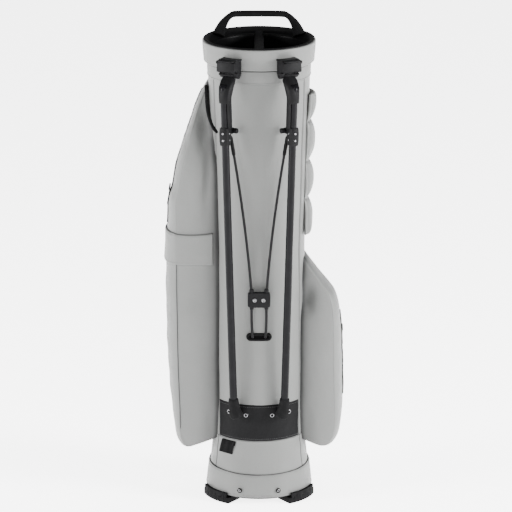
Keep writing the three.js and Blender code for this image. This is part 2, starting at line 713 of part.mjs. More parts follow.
// A flexible rod, bowed as it leaves the bridge, with a slotted eye that has play on the clamp's pin.
function flexRod() {
  const top = rodTop();
  const low = new THREE.Vector3(ROD_SPREAD, BRIDGE.y, BRIDGE.z + 6);
  const reach = top.z - low.z;
  const lean = new THREE.Vector3(top.x - low.x, top.y - low.y, 0);
  const eyeEnd = 1 - (EYE.halfLength - 0.6) / reach;
  const points = [0, 0.14, 0.36, 0.62, 0.84, eyeEnd].map((share) => {
    const bow = 0.45 * share + 0.55 * share ** 1.7;
    return low.clone().addScaledVector(lean, bow).add(new THREE.Vector3(0, 0, reach * share));
  });
  const rod = bar(roundShape(ROD_RADIUS, 8), points, 16);
  const outline = ovalShape(EYE.halfWidth, EYE.halfLength);
  outline.holes.push(new THREE.Path(ovalShape(EYE.slotHalfWidth, EYE.slotHalfLength).getPoints(5)));
  const eye = slab(outline, EYE.thickness, 5)
    .translate(0, 0, -EYE.thickness / 2)
    .rotateX(Math.PI / 2)
    .rotateZ(Math.PI / 2)
    .rotateZ(radians(LEG_AZIMUTH))
    .translate(top.x, top.y, top.z);
  return join(rod, eye);
}

// The rod below the bridge: down in front of the tube, then in through the slot to the yoke.
function lowerStrand() {
  const front = BRIDGE.y + 2;
  const top = BRIDGE.z - BRIDGE.height / 2 - GAP;
  const inner = YOKE.y - YOKE.radius - GAP;
  const points = [
    new THREE.Vector3(ROD_SPREAD, front, top),
    new THREE.Vector3(ROD_SPREAD, front, top - 20),
    new THREE.Vector3(ROD_SPREAD - 0.8, front + 0.8, SLOT.z + 16),
    new THREE.Vector3(YOKE.spread, front + 3.8, SLOT.z + 5),
    new THREE.Vector3(YOKE.spread, front + 10.5, SLOT.z + 0.4),
    new THREE.Vector3(YOKE.spread, inner - 2, SLOT.z),
    new THREE.Vector3(YOKE.spread, inner, SLOT.z),
  ];
  return bar(roundShape(ROD_RADIUS, 8), points, 14, 0.4);
}

function bridgeBlock() {
  const { width, height, thickness } = BRIDGE;
  const body = loft(20, 4, (x, y, t) => {
    const [u, v] = squared(x, y, 7);
    const shrink = t === 0 || t === 1 ? 0.94 : 1;
    return new THREE.Vector3((u * width * shrink) / 2, ((t - 0.5) * thickness), (v * height * shrink) / 2);
  }).translate(0, BRIDGE.y, BRIDGE.z);
  const rodRoom = [-1, 1].map((side) =>
    block(-5.5, 5.5, -3.6, 3.6, 4, 20).translate(side * ROD_SPREAD, BRIDGE.y, BRIDGE.z),
  );
  return cut(body, ...rodRoom);
}

function slotGrommet() {
  const face = slab(ovalShape(SLOT.width / 2, SLOT.height / 2), 20);
  const neck = slab(ovalShape(SLOT.holeWidth / 2 + 0.6, SLOT.holeHeight / 2 + 0.6), 20);
  const hole = slab(ovalShape(SLOT.holeWidth / 2 - 1, SLOT.holeHeight / 2 - 1), 60);
  const stand = (geometry, y) => geometry.rotateX(Math.PI / 2).translate(0, y, SLOT.z);
  const inside = (radius) => turned([[0, 300], [radius, 300], [radius, 350], [0, 350]]);
  const flange = common(stand(face, -70), inside(TUBE_RADIUS + 3));
  const proud = cut(flange, tubeOutside(GAP));
  const collar = cut(stand(neck, -66), inside(TUBE_RADIUS - TUBE_WALL - 1));
  const trimmed = common(collar, inside(TUBE_RADIUS + 2));
  return cut(join(proud, trimmed), stand(hole, -50));
}

function yoke() {
  const { spread, y, radius, barHeight, barZ } = YOKE;
  const top = SLOT.z + radius + 1;
  return join(
    rodZ(radius, barZ + 1, top, -spread, y, 12),
    rodZ(radius, barZ + 1, top, spread, y, 12),
    block(-spread - 6, spread + 6, y - 3.5, y + 3.5, barZ, barZ + barHeight),
  );
}

function buildActuator(bag) {
  piece(bag, "slot_grommet", slotGrommet(), RUBBER);
  piece(bag, "bridge_block", bridgeBlock(), PLASTIC);
  piece(bag, "actuator_yoke", yoke(), STEEL);
  for (const [name, side] of SIDES) {
    piece(bag, `flex_rod_${name}`, mirrored(flexRod(), side), FIBREGLASS);
    piece(bag, `lower_strand_${name}`, mirrored(lowerStrand(), side), FIBREGLASS);
    const face = BRIDGE.y - BRIDGE.thickness / 2;
    piece(bag, `bridge_rivet_${name}`, rodY(3.2, face - 2, face - GAP, side * 8.2, BRIDGE.z, 14), STEEL);
  }
}

// ---- Leg-rest panel, tab -------------------------------------------------------------------------

function buildRestPanel(bag) {
  const inner = TUBE_RADIUS + GAP;
  const outer = inner + REST_PANEL.thickness;
  const { bottom, top, halfAzimuth } = REST_PANEL;
  const panel = sector(inner, outer, -halfAzimuth, halfAzimuth, bottom, top, 24);
  piece(bag, "leg_rest_panel", panel, BLACK_LEATHER);
  for (const [name, side] of SIDES) {
    for (const [label, azimuth, z] of [["inner", 16.5, 172], ["outer", 41, 174]]) {
      const rivet = rodY(4, -outer - 1.4, -outer - GAP, 0, 0, 16)
        .rotateZ(side * radians(azimuth))
        .translate(0, 0, z);
      piece(bag, `panel_rivet_${label}_${name}`, rivet, STEEL);
    }
  }
  const tab = block(-15, 15, -TUBE_RADIUS - 6, -TUBE_RADIUS - 2.2, 0, 25)
    .rotateZ(radians(-43))
    .translate(0, 0, 93);
  piece(bag, "side_tab", tab, WEBBING);
}

// ---- Pockets -------------------------------------------------------------------------------------

// A pocket on the +X side: a squared oval section at each height, cut to sit on the tube and hollowed.
function pocket({ reach, halfDepth }, levels, shift) {
  const low = reach[0][0];
  const high = reach[reach.length - 1][0];
  const shell = (wall, root) =>
    loft(20, levels, (x, y, t) => {
      const z = THREE.MathUtils.lerp(low + wall, high - wall, t);
      const out = between(reach, z) - wall;
      const deep = between(halfDepth, z) - wall;
      const [u, v] = squared(x, y, 3.4);
      return new THREE.Vector3((out + root) / 2 + (u * (out - root)) / 2, v * deep + shift, z);
    });
  return cut(shell(0, POCKET_ROOT), tubeOutside(GAP + 0.4), shell(POCKET_WALL, POCKET_ROOT - 12));
}

// The wide band sewn round the left pocket.
function pocketBand() {
  const { bottom, top, thickness, halfDepth, reach } = POCKET_BAND;
  const ring = (grow) =>
    loft(32, 1, (x, y, t) => {
      const [u, v] = squared(x, y, 3.4);
      const out = reach + grow;
      const tall = grow < 0 ? 10 : 0;
      const z = THREE.MathUtils.lerp(bottom - tall, top + tall, t);
      const along = (out + POCKET_ROOT) / 2 + (u * (out - POCKET_ROOT)) / 2;
      return new THREE.Vector3(along, v * (halfDepth + grow) + POCKET_SHIFT, z);
    });
  return cut(ring(0), ring(-thickness), tubeOutside(GAP + 6));
}

// A slider with its pull tab hanging down, standing just off a pocket's outer face.
function zipPull(face, y, z) {
  const x = face + GAP + 1;
  return join(block(x, x + 3, y - 4.5, y + 4.5, z - 11, z), block(x, x + 1.6, y - 3, y + 3, z - 38, z - 9));
}

function buildPockets(bag) {
  piece(bag, "left_pocket", mirrored(pocket(LEFT_POCKET, 12, POCKET_SHIFT), -1), LEATHER);
  piece(bag, "left_pocket_band", mirrored(pocketBand(), -1), LEATHER);
  piece(bag, "right_pocket", pocket(RIGHT_POCKET, 10, POCKET_SHIFT), LEATHER);
  piece(bag, "rear_pocket", pocket(REAR_POCKET, 6, 0).rotateZ(Math.PI / 2), LEATHER);
  piece(bag, "zip_pull_left", mirrored(zipPull(between(LEFT_POCKET.reach, 573), 2, 597), -1), STEEL);
  piece(bag, "zip_pull_right", zipPull(between(RIGHT_POCKET.reach, 300), 2, 325), STEEL);
}

// ---- Back pad and straps -------------------------------------------------------------------------

// Quilted in level channels, and bent round the tube.
function backPad() {
  const { bottom, top, from, to, thickness, crown, channels } = PAD;
  const columns = Math.round(((to - from) / 360) * TUBE_SIDES);
  return bent(columns, 1, channels * 5, (u, v, w) => {
    const z = THREE.MathUtils.lerp(bottom, top, w);
    const swell = Math.abs(Math.sin(Math.PI * channels * w)) ** 0.7;
    const depth = thickness + crown * swell * (1 - Math.abs(2 * u - 1) ** 6);
    return polar(THREE.MathUtils.lerp(from, to, u), tubeRadius(z) + GAP + 0.3 + v * depth, z);
  });
}

// A strap's centre line, in a plane across the back of the bag.
const strapLine = (x) =>
  new THREE.CatmullRomCurve3([
    new THREE.Vector3(x, TUBE_TOP_RADIUS + 9, STRAP.topZ - 4),
    new THREE.Vector3(x, TUBE_TOP_RADIUS + 33, STRAP.topZ - 60),
    new THREE.Vector3(x, TUBE_TOP_RADIUS + 44, STRAP.topZ - 150),
    new THREE.Vector3(x, TUBE_TOP_RADIUS + 38, STRAP.topZ - 240),
    new THREE.Vector3(x, TUBE_TOP_RADIUS + 20, STRAP.topZ - 310),
    new THREE.Vector3(x, TUBE_RADIUS + 10, STRAP.bottomZ + 22),
    new THREE.Vector3(x, TUBE_RADIUS + 9.5, STRAP.bottomZ + 2),
  ]);

function strap(x, from, to, halfWidth, halfThickness, levels, power = 4) {
  const curve = strapLine(x);
  return loft(8, levels, (u0, v0, t) => {
    const at = THREE.MathUtils.lerp(from, to, t);
    const along = curve.getTangent(at);
    const normal = new THREE.Vector3(0, along.z, -along.y).normalize();
    const [u, v] = squared(u0, v0, power);
    const across = new THREE.Vector3(v * halfWidth, 0, 0);
    return curve.getPoint(at).addScaledVector(normal, u * halfThickness).add(across);
  });
}

function buildStraps(bag) {
  piece(bag, "back_pad", backPad(), LEATHER);
  const back = TUBE_TOP_RADIUS + GAP;
  const top = STRAP.topZ;
  const anchor = cut(block(-62, 62, 60, back + 14, top - 12, top + 5), tubeOutside(GAP + 0.4));
  const slot = block(-60, 60, back + 4, back + 12, top - 20, top);
  piece(bag, "strap_top_anchor", cut(anchor, slot), PLASTIC);
  for (const [name, side] of SIDES) {
    const x = side * 32;
    const pad = strap(x, 0.08, 0.6, STRAP.padWidth / 2, STRAP.padThickness / 2, 12);
    const web = strap(x, 0.61, 1, STRAP.webWidth / 2, STRAP.webThickness / 2, 8, 8);
    piece(bag, `strap_pad_${name}`, pad, LEATHER);
    piece(bag, `strap_web_${name}`, web, WEBBING);
  }
  const low = STRAP.bottomZ;
  const lowerBar = block(-50, 50, TUBE_RADIUS - 35, TUBE_RADIUS + 15, low - 12, low + 12);
  const lower = cut(lowerBar, tubeOutside(GAP + 0.4));
  const mouth = block(-48, 48, TUBE_RADIUS + 6.5, TUBE_RADIUS + 12.5, low - 2, low + 20);
  piece(bag, "strap_lower_anchor", cut(lower, mouth), PLASTIC);
}

// ---- Assembly ------------------------------------------------------------------------------------

const bag = new THREE.Group();
buildTube(bag);
buildHandle(bag);
buildBoot(bag);
buildLegs(bag);
buildActuator(bag);
buildRestPanel(bag);
buildPockets(bag);
buildStraps(bag);

// The origin is under the middle of the whole object, at floor level.
const model = new THREE.Group();
model.add(bag);
model.updateMatrixWorld(true);
const middle = new THREE.Box3().setFromObject(bag, true).getCenter(new THREE.Vector3());
bag.position.set(-middle.x, -middle.y, 0);

export default model;
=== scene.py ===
"""Looks for a golf stand bag: leather cover, pockets, quilted pad, straps, rim, handle, legs and boot.

Every size is in metres in the frame's own axes: +Z up, -Y towards the folded legs, +X towards the short
pocket. An azimuth is measured round the bag's axis from -Y towards +X.
"""

import json
import math

import bmesh
import bpy
import numpy as np
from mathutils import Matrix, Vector


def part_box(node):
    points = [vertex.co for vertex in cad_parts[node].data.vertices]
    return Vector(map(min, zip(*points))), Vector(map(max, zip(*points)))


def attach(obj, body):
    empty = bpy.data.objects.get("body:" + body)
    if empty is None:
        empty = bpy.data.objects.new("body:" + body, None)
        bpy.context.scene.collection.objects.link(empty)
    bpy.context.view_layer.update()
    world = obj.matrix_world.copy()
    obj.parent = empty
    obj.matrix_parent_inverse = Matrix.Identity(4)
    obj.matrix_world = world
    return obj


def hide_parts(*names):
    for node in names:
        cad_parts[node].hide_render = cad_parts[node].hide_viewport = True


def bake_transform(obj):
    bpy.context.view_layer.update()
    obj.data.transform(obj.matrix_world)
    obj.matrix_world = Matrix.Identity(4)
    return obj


bl_info = {
    "name": "Golf Stand Bag",
    "version": (1, 0, 0),
    "blender": (4, 5, 0),
    "location": "View3D > Sidebar > Golf Bag",
    "description": "Dresses the frame of a golf stand bag in leather, webbing, plastic and enamel",
    "category": "Object",
}

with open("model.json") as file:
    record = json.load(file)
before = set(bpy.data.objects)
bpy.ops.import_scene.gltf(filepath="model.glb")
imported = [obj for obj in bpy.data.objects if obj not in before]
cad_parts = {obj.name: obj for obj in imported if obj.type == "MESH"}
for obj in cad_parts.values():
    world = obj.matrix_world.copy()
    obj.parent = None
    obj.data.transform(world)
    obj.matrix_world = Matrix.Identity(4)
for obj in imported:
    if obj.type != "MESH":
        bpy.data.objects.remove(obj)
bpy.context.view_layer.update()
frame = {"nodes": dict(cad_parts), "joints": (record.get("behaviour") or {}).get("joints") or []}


# ---- Frame measurements ----------------------------------------------------------------------


def vertex_vectors(mesh, name):
    """The place ("co") or "normal" of every vertex of a mesh as an (n, 3) array."""
    flat = np.empty(len(mesh.vertices) * 3, np.float32)
    mesh.vertices.foreach_get(name, flat)
    return flat.reshape(-1, 3).astype(float)


def node_points(name):
    """The vertices of a frame node."""
    return vertex_vectors(frame["nodes"][name].data, "co")


def middle_of(name):
    """The middle of a frame node's box."""
    low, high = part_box(name)
    return np.array((low + high) / 2)


def joint_named(name):
    """A joint's entry in the frame."""
    return next(joint for joint in frame["joints"] if joint["name"] == name)


AXIS_X, AXIS_Y = middle_of("body_tube")[:2]
TUBE_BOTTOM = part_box("body_tube")[0].z
TUBE_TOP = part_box("body_tube")[1].z
RIM_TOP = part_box("rim_moulding")[1].z
RIM_RADIUS = (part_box("rim_moulding")[1].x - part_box("rim_moulding")[0].x) / 2


def radius_profile(name):
    """Outer radius of a round node against height: the largest radius at each level of its vertices."""
    points = node_points(name)
    radius = np.hypot(points[:, 0] - AXIS_X, points[:, 1] - AXIS_Y)
    levels = np.unique(np.round(points[:, 2], 4))
    outer = np.array([radius[np.abs(points[:, 2] - z) < 2e-4].max() for z in levels])
    return levels, outer


def tube_measures():
    """Heights and outer radii at the tube's foot, its waist, where it starts to widen, and its top."""
    levels, radii = radius_profile("body_tube")
    waist = np.flatnonzero(radii < radii[0] + 3e-4)[-1]
    return levels[[0, waist, -1]], radii[[0, waist, -1]]


TUBE_LEVELS, TUBE_RADII = tube_measures()
LEG_AZIMUTH = math.radians(28)


def tube_radius(z):
    """The tube's outer radius at a height: straight lines between its levels."""
    return np.interp(z, TUBE_LEVELS, TUBE_RADII)


def round_bag(azimuth, radius, z):
    """A point at an azimuth (radians), a radius from the bag's axis and a height. All three may be arrays."""
    azimuth, radius, z = np.broadcast_arrays(azimuth, radius, z)
    return np.stack([AXIS_X + radius * np.sin(azimuth), AXIS_Y - radius * np.cos(azimuth), z], axis=-1)


def beside_leg(side, across, out, z):
    """A point in a leg's own plane: across is along its hinge, away from the bag's middle, and out is away
    from the axis. side is 1 for the right leg and -1 for the left, which is its mirror image."""
    across, out, z = np.broadcast_arrays(across, out, z)
    x = out * math.sin(LEG_AZIMUTH) + across * math.cos(LEG_AZIMUTH)
    y = -out * math.cos(LEG_AZIMUTH) + across * math.sin(LEG_AZIMUTH)
    return np.stack([AXIS_X + side * x, AXIS_Y + y, z], axis=-1)


# ---- Curves and sections ---------------------------------------------------------------------

DOME_REACH = 0.6  # how far a domed end stands out, over its radius
SMALLEST_DOME = 0.05  # the last ring of a domed end, over its radius


def smooth_values(values, times):
    """A row of values, each replaced several times by the mean of itself and its neighbours."""
    for _ in range(times):
        values = np.convolve(np.pad(values, 1, mode="edge"), [0.25, 0.5, 0.25], mode="valid")
    return values


def smooth_rows(grid, times):
    """A grid with each row's points smoothed along the row."""
    for _ in range(times):
        wide = np.concatenate([grid[:, :1], grid, grid[:, -1:]], axis=1)
        grid = 0.25 * wide[:, :-2] + 0.5 * wide[:, 1:-1] + 0.25 * wide[:, 2:]
    return grid


def smooth_path(points, count):
    """A curve through the given points, resampled evenly: the Catmull-Rom cubic of each stretch, whose
    slope at a point is half the step between that point's neighbours."""
    points = np.asarray(points, float)
    padded = np.vstack([2 * points[0] - points[1], points, 2 * points[-1] - points[-2]])
    t = np.linspace(0, len(points) - 1, 40 * len(points))
    k = np.minimum(t.astype(int), len(points) - 2)
    t = (t - k)[:, None]
    p0, p1, p2, p3 = (padded[k + i] for i in range(4))
    square = 2 * p0 - 5 * p1 + 4 * p2 - p3
    cube = 3 * p1 - p0 - 3 * p2 + p3
    curve = 0.5 * (2 * p1 + (p2 - p0) * t + square * t**2 + cube * t**3)
    return even(curve, count)


def even(curve, count):
    """The same line with its points an equal distance apart."""
    travelled = np.concatenate([[0], np.cumsum(np.linalg.norm(np.diff(curve, axis=0), axis=1))])
    at = np.linspace(0, travelled[-1], count)
    return np.stack([np.interp(at, travelled, curve[:, axis]) for axis in range(curve.shape[1])], axis=-1)


def unit(vectors):
    """Vectors scaled to length one."""
    return vectors / np.maximum(np.linalg.norm(vectors, axis=-1, keepdims=True), 1e-12)


def squared_circle(count, power=2.0):
    """count points round a unit circle pushed out towards a square: |x|^power + |y|^power = 1."""
    angle = np.linspace(0, 2 * math.pi, count, endpoint=False) + math.pi / 4
    x, y = np.cos(angle), np.sin(angle)
    grow = (np.abs(x) ** power + np.abs(y) ** power) ** (-1 / power)
    return np.stack([x * grow, y * grow], axis=-1)


def carried(path, across, over, section):
    """A section carried along a path: point (i, j) = path_i + section_j.x * across_i + section_j.y * over_i.
    The section may be one outline or one for each point of the path."""
    section = np.broadcast_to(section, (len(path),) + np.shape(section)[-2:])
    return path[:, None] + section[..., :1] * across[:, None] + section[..., 1:] * over[:, None]


def round_bar(path, radius, around=16, reference=(0, 1, 0)):
    """Rings of a round bar: a circle of the given radius (or one for each point) square to the path."""
    along = unit(np.gradient(path, axis=0))
    across = unit(np.cross(along, np.broadcast_to(reference, path.shape)))
    over = np.cross(across, along)
    radius = np.broadcast_to(radius, len(path))[:, None, None]
    return carried(path, across, over, squared_circle(around) * radius)


def domed_ends(path, radius):
    """A path and radii with a rounded end added at both ends: radius times sqrt(1 - s^2), s going from 1
    to 0."""
    along = unit(np.gradient(path, axis=0))
    s = np.sin(np.linspace(math.pi / 2, 0, 5, endpoint=False))[:, None]
    start = path[0] - along[0] * radius[0] * s * DOME_REACH
    end = (path[-1] + along[-1] * radius[-1] * s * DOME_REACH)[::-1]
    fall = np.sqrt(np.maximum(1 - s[:, 0] ** 2, SMALLEST_DOME**2))
    radii = np.concatenate([radius[0] * fall, radius, (radius[-1] * fall)[::-1]])
    return np.vstack([start, path, end]), radii


def rounded_steps(count, share):
    """Values from 0 to 1, close together within share of each end, where an edge is rounded off."""
    roll = share * (1 - np.cos(np.linspace(0, math.pi / 2, 6)))
    return np.concatenate([roll[:-1], np.linspace(share, 1 - share, count), (1 - roll[:-1])[::-1]])


def edge_fall(s, share):
    """1 inside, falling in a quarter circle to 0 over the last share of the range at both ends."""
    near = np.clip(np.minimum(s, 1 - s) / share, 0, 1)
    return np.sqrt(np.maximum(1 - (1 - near) ** 2, 0))


def drift(x, y, z, seed, scale):
    """Smooth wandering between about -1 and 1: the sum of six sine waves of fixed random direction and
    phase."""
    rng = np.random.default_rng(seed)
    total = 0
    for _ in range(6):
        wave = rng.normal(size=3) * 2 * math.pi / scale
        total = total + np.sin(wave[0] * x + wave[1] * y + wave[2] * z + rng.uniform(0, 2 * math.pi))
    return total / 3


# ---- Meshes ----------------------------------------------------------------------------------


class Surface:
    """Closed sheets of points gathered into one mesh, with a UV in metres and a painted crease shade strength
    at each point."""

    def __init__(self):
        self.points, self.creases, self.faces, self.uvs, self.slots = [], [], [], [], []
        self.count = 0

    def _add(self, points, creases, face_sets, slots):
        """Adds one closed shape, turned inside out first if its volume comes out negative."""
        volume = 0.0
        for faces, _ in face_sets:
            corner = points[faces]
            for k in range(1, faces.shape[1] - 1):
                volume += np.einsum("ij,ij->", corner[:, 0], np.cross(corner[:, k], corner[:, k + 1]))
        for (faces, uv), slot in zip(face_sets, slots):
            if volume < 0:
                faces, uv = faces[:, ::-1], uv[:, ::-1]
            self.faces.append(faces + self.count)
            self.uvs.append(uv)
            self.slots.append(np.broadcast_to(slot, len(faces)))
        self.points.append(points)
        self.creases.append(creases)
        self.count += len(points)

    def ring_solid(self, rings, crease=0.0, size=(1, 1), slot=0):
        """A stack of closed rings, (n, m, 3), with a pole in the middle of each end."""
        n, m = rings.shape[:2]
        start, end = pole_faces(n, m)
        crease = np.broadcast_to(crease, (n, m))
        creases = np.concatenate([crease.ravel(), [crease[0].mean(), crease[-1].mean()]])
        caps = np.zeros((m, 3, 2))
        sets = [grid_faces(n, m, False, True, size), (start, caps), (end, caps)]
        self._add(with_poles(rings), creases, sets, [slot] * 3)

    def ring_wall(self, grid, crease=0.0, size=(1, 1), slot=0):
        """A wall whose outline closes on itself and whose length closes on itself, like a tyre."""
        n, m = grid.shape[:2]
        crease = np.broadcast_to(crease, (n, m))
        self._add(grid.reshape(-1, 3), crease.ravel(), [grid_faces(n, m, True, True, size)], [slot])

    def slab(self, outer, inner, crease=0.0, size=(1, 1)):
        """Two sheets of the same grid joined all round their edges."""
        n, m = outer.shape[:2]
        index = np.arange(n * m).reshape(n, m)
        front, uv = grid_faces(n, m, False, False, size)
        back = front[:, ::-1] + n * m
        rim = np.concatenate([index[0], index[1:, -1], index[-1, -2::-1], index[-2:0:-1, 0]])
        after = np.roll(rim, -1)
        edge = np.stack([after, rim, rim + n * m, after + n * m], axis=-1)
        crease = np.broadcast_to(crease, (n, m))
        points = np.vstack([outer.reshape(-1, 3), inner.reshape(-1, 3)])
        sets = [(front, uv), (back, uv[:, ::-1]), (edge, np.zeros((len(edge), 4, 2)))]
        self._add(points, np.tile(crease.ravel(), 2), sets, [0, 0, 0])

    def copies(self, rings, centres, frames, slot=0):
        """A small ring solid repeated. A point (x, y, z) of copy k is at centre_k + (x, y, z) times
        frame_k."""
        n, m = rings.shape[:2]
        local = with_poles(rings)
        points = (centres[:, None] + np.einsum("pi,kij->kpj", local, frames)).reshape(-1, 3)
        step = (np.arange(len(centres)) * len(local))[:, None, None]
        groups = [grid_faces(n, m, False, True, (1, 1))[0], *pole_faces(n, m)]
        groups = [(group[None] + step).reshape(-1, group.shape[1]) for group in groups]
        sets = [(group, np.zeros(group.shape + (2,))) for group in groups]
        self._add(points, np.zeros(len(points)), sets, [slot] * 3)

    def piece(self, name, materials):
        """The finished object, at the origin."""
        mesh = bpy.data.meshes.new(name)
        points = np.vstack(self.points)
        mesh.vertices.add(len(points))
        mesh.vertices.foreach_set("co", points.astype(np.float32).ravel())
        sizes = np.concatenate([np.full(len(group), group.shape[1]) for group in self.faces])
        corners = np.concatenate([group.ravel() for group in self.faces])
        mesh.loops.add(len(corners))
        mesh.loops.foreach_set("vertex_index", corners.astype(np.int32))
        mesh.polygons.add(len(sizes))
        mesh.polygons.foreach_set("loop_start", (np.cumsum(sizes) - sizes).astype(np.int32))
        mesh.polygons.foreach_set("material_index", np.concatenate(self.slots).astype(np.int32))
        mesh.polygons.foreach_set("use_smooth", np.full(len(sizes), True))
        mesh.update(calc_edges=True)
        layer = mesh.uv_layers.new(name="UVMap")
        layer.data.foreach_set("uv", np.concatenate([uv.reshape(-1) for uv in self.uvs]).astype(np.float32))
        crease = mesh.attributes.new("crease", "FLOAT", "POINT")
        crease.data.foreach_set("value", np.concatenate(self.creases).astype(np.float32))
        mesh.validate()
        piece = bpy.data.objects.new(name, mesh)
        bpy.context.scene.collection.objects.link(piece)
        for material in materials:
            mesh.materials.append(material)
        return piece


def with_poles(rings):
    """The points of a stack of rings, with the middle of the first ring and of the last put after them."""
    return np.vstack([rings.reshape(-1, 3), rings[0].mean(0), rings[-1].mean(0)])


def pole_faces(n, m):
    """Triangles from each end's pole to the ring beside it, for n rings of m points."""
    j = np.arange(m)
    start = np.stack([np.full(m, n * m), (j + 1) % m, j], axis=-1)
    end = np.stack([np.full(m, n * m + 1), (n - 1) * m + j, (n - 1) * m + (j + 1) % m], axis=-1)
    return start, end


def grid_faces(n, m, wrap_rows, wrap_cols, size):
    """Quads of an n by m grid and their corners' UVs, which run over size (width, length) in metres."""
    rows = np.arange(n if wrap_rows else n - 1)
    cols = np.arange(m if wrap_cols else m - 1)
    i, j = (index.ravel() for index in np.meshgrid(rows, cols, indexing="ij"))
    corners = [(i, j), (i, j + 1), (i + 1, j + 1), (i + 1, j)]
    faces = np.stack([(a % n) * m + b % m for a, b in corners], axis=-1)
    uv = [np.stack([b / len(cols) * size[0], a / len(rows) * size[1]], axis=-1) for a, b in corners]
    return faces, np.stack(uv, axis=1)


def dress(piece, body, slot, *nodes):
    """Mounts a finished piece on its body and hides the plain nodes that it stands for; its slot name is not
    used."""
    if body:
        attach(piece, body)
    if nodes:
        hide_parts(*nodes)
    return piece


def turned(profile, around):
    """A closed outline of (radius, height) points turned round the bag's axis, as a ring wall's grid."""
    profile = np.asarray(profile, float)
    azimuth = np.linspace(0, 2 * math.pi, around, endpoint=False)
    return round_bag(azimuth[None], profile[:, :1], np.repeat(profile[:, 1:], around, axis=1))


def stacked(outline, sizes, heights):
    """Rings in their own axes: an outline at each of several sizes and heights."""
    flat = outline[None] * sizes[:, None, None]
    return np.concatenate([flat, np.broadcast_to(heights[:, None, None], flat.shape[:2] + (1,))], axis=-1)


def dome_rings(radius, height, shoulder=0.0):
    """Rings of a domed button standing on z = 0: up its shoulder, then radius times cos(a) against height
    times sin(a)."""
    turn = np.linspace(0, 0.47 * math.pi, 7)
    r = np.concatenate([[radius * 0.3, radius * 0.9, radius], radius * np.cos(turn[1:])])
    z = np.concatenate([[0, 0, shoulder], shoulder + height * np.sin(turn[1:])])
    return stacked(squared_circle(20), r, z)


def eyelet_rings(radius):
    """Rings of a pressed eyelet standing on z = 0: up a quarter circle from its edge, over its crest and down
    into its throat."""
    turn = np.linspace(0, math.pi, 9)
    r = radius * np.concatenate([[0.5, 1.0], 0.74 + 0.26 * np.cos(turn), [0.44, 0.2]])
    z = np.concatenate([[0, 0], 0.0011 * np.sin(turn), [-0.0008, -0.0008]])
    return stacked(squared_circle(28), r, z)


def axes_facing(normal):
    """Row vectors (across, up, normal) of a little frame that faces along a normal."""
    normal = unit(np.asarray(normal, float))
    across = unit(np.cross([0, 0, 1], normal))
    return np.stack([across, np.cross(normal, across), normal], axis=-2)


def placed(rings, centre, axes):
    """Rings moved from their own axes to a centre and three row vectors."""
    return centre + np.einsum("nmi,ij->nmj", rings, axes)


def length_of(line):
    """A line's length."""
    return np.linalg.norm(np.diff(line, axis=0), axis=1).sum()


def stitch_run(surface, line, normal, sewing, slot):
    """Stitches along a line: slim round beads about three quarters of the pitch long, part sunk in the
    surface."""
    pitch, thread = sewing.stitch_pitch, sewing.thread
    count = max(2, int(length_of(line) / pitch))
    at = even(np.hstack([line, normal]), count * 2 + 1)[1::2]
    centres, normals = at[:, :3], unit(at[:, 3:])
    along = unit(np.gradient(centres, axis=0))
    frames = np.stack([np.cross(normals, along), normals, along], axis=1)
    z = np.array([-1, -0.75, 0, 0.75, 1]) * pitch * 0.36
    r = np.array([0.35, 0.9, 1, 0.9, 0.35]) * thread
    surface.copies(stacked(squared_circle(6), r, z), centres + normals * thread * 0.4, frames, slot)


def stitch_round(surface, line, sewing, slot):
    """Stitches along a line on the bag's round side, facing straight out from the axis."""
    stitch_run(surface, line, unit(line - round_bag(0, 0, line[:, 2])), sewing, slot)


# ---- Materials -------------------------------------------------------------------------------

MOULD_TEXTURE = 0.00045


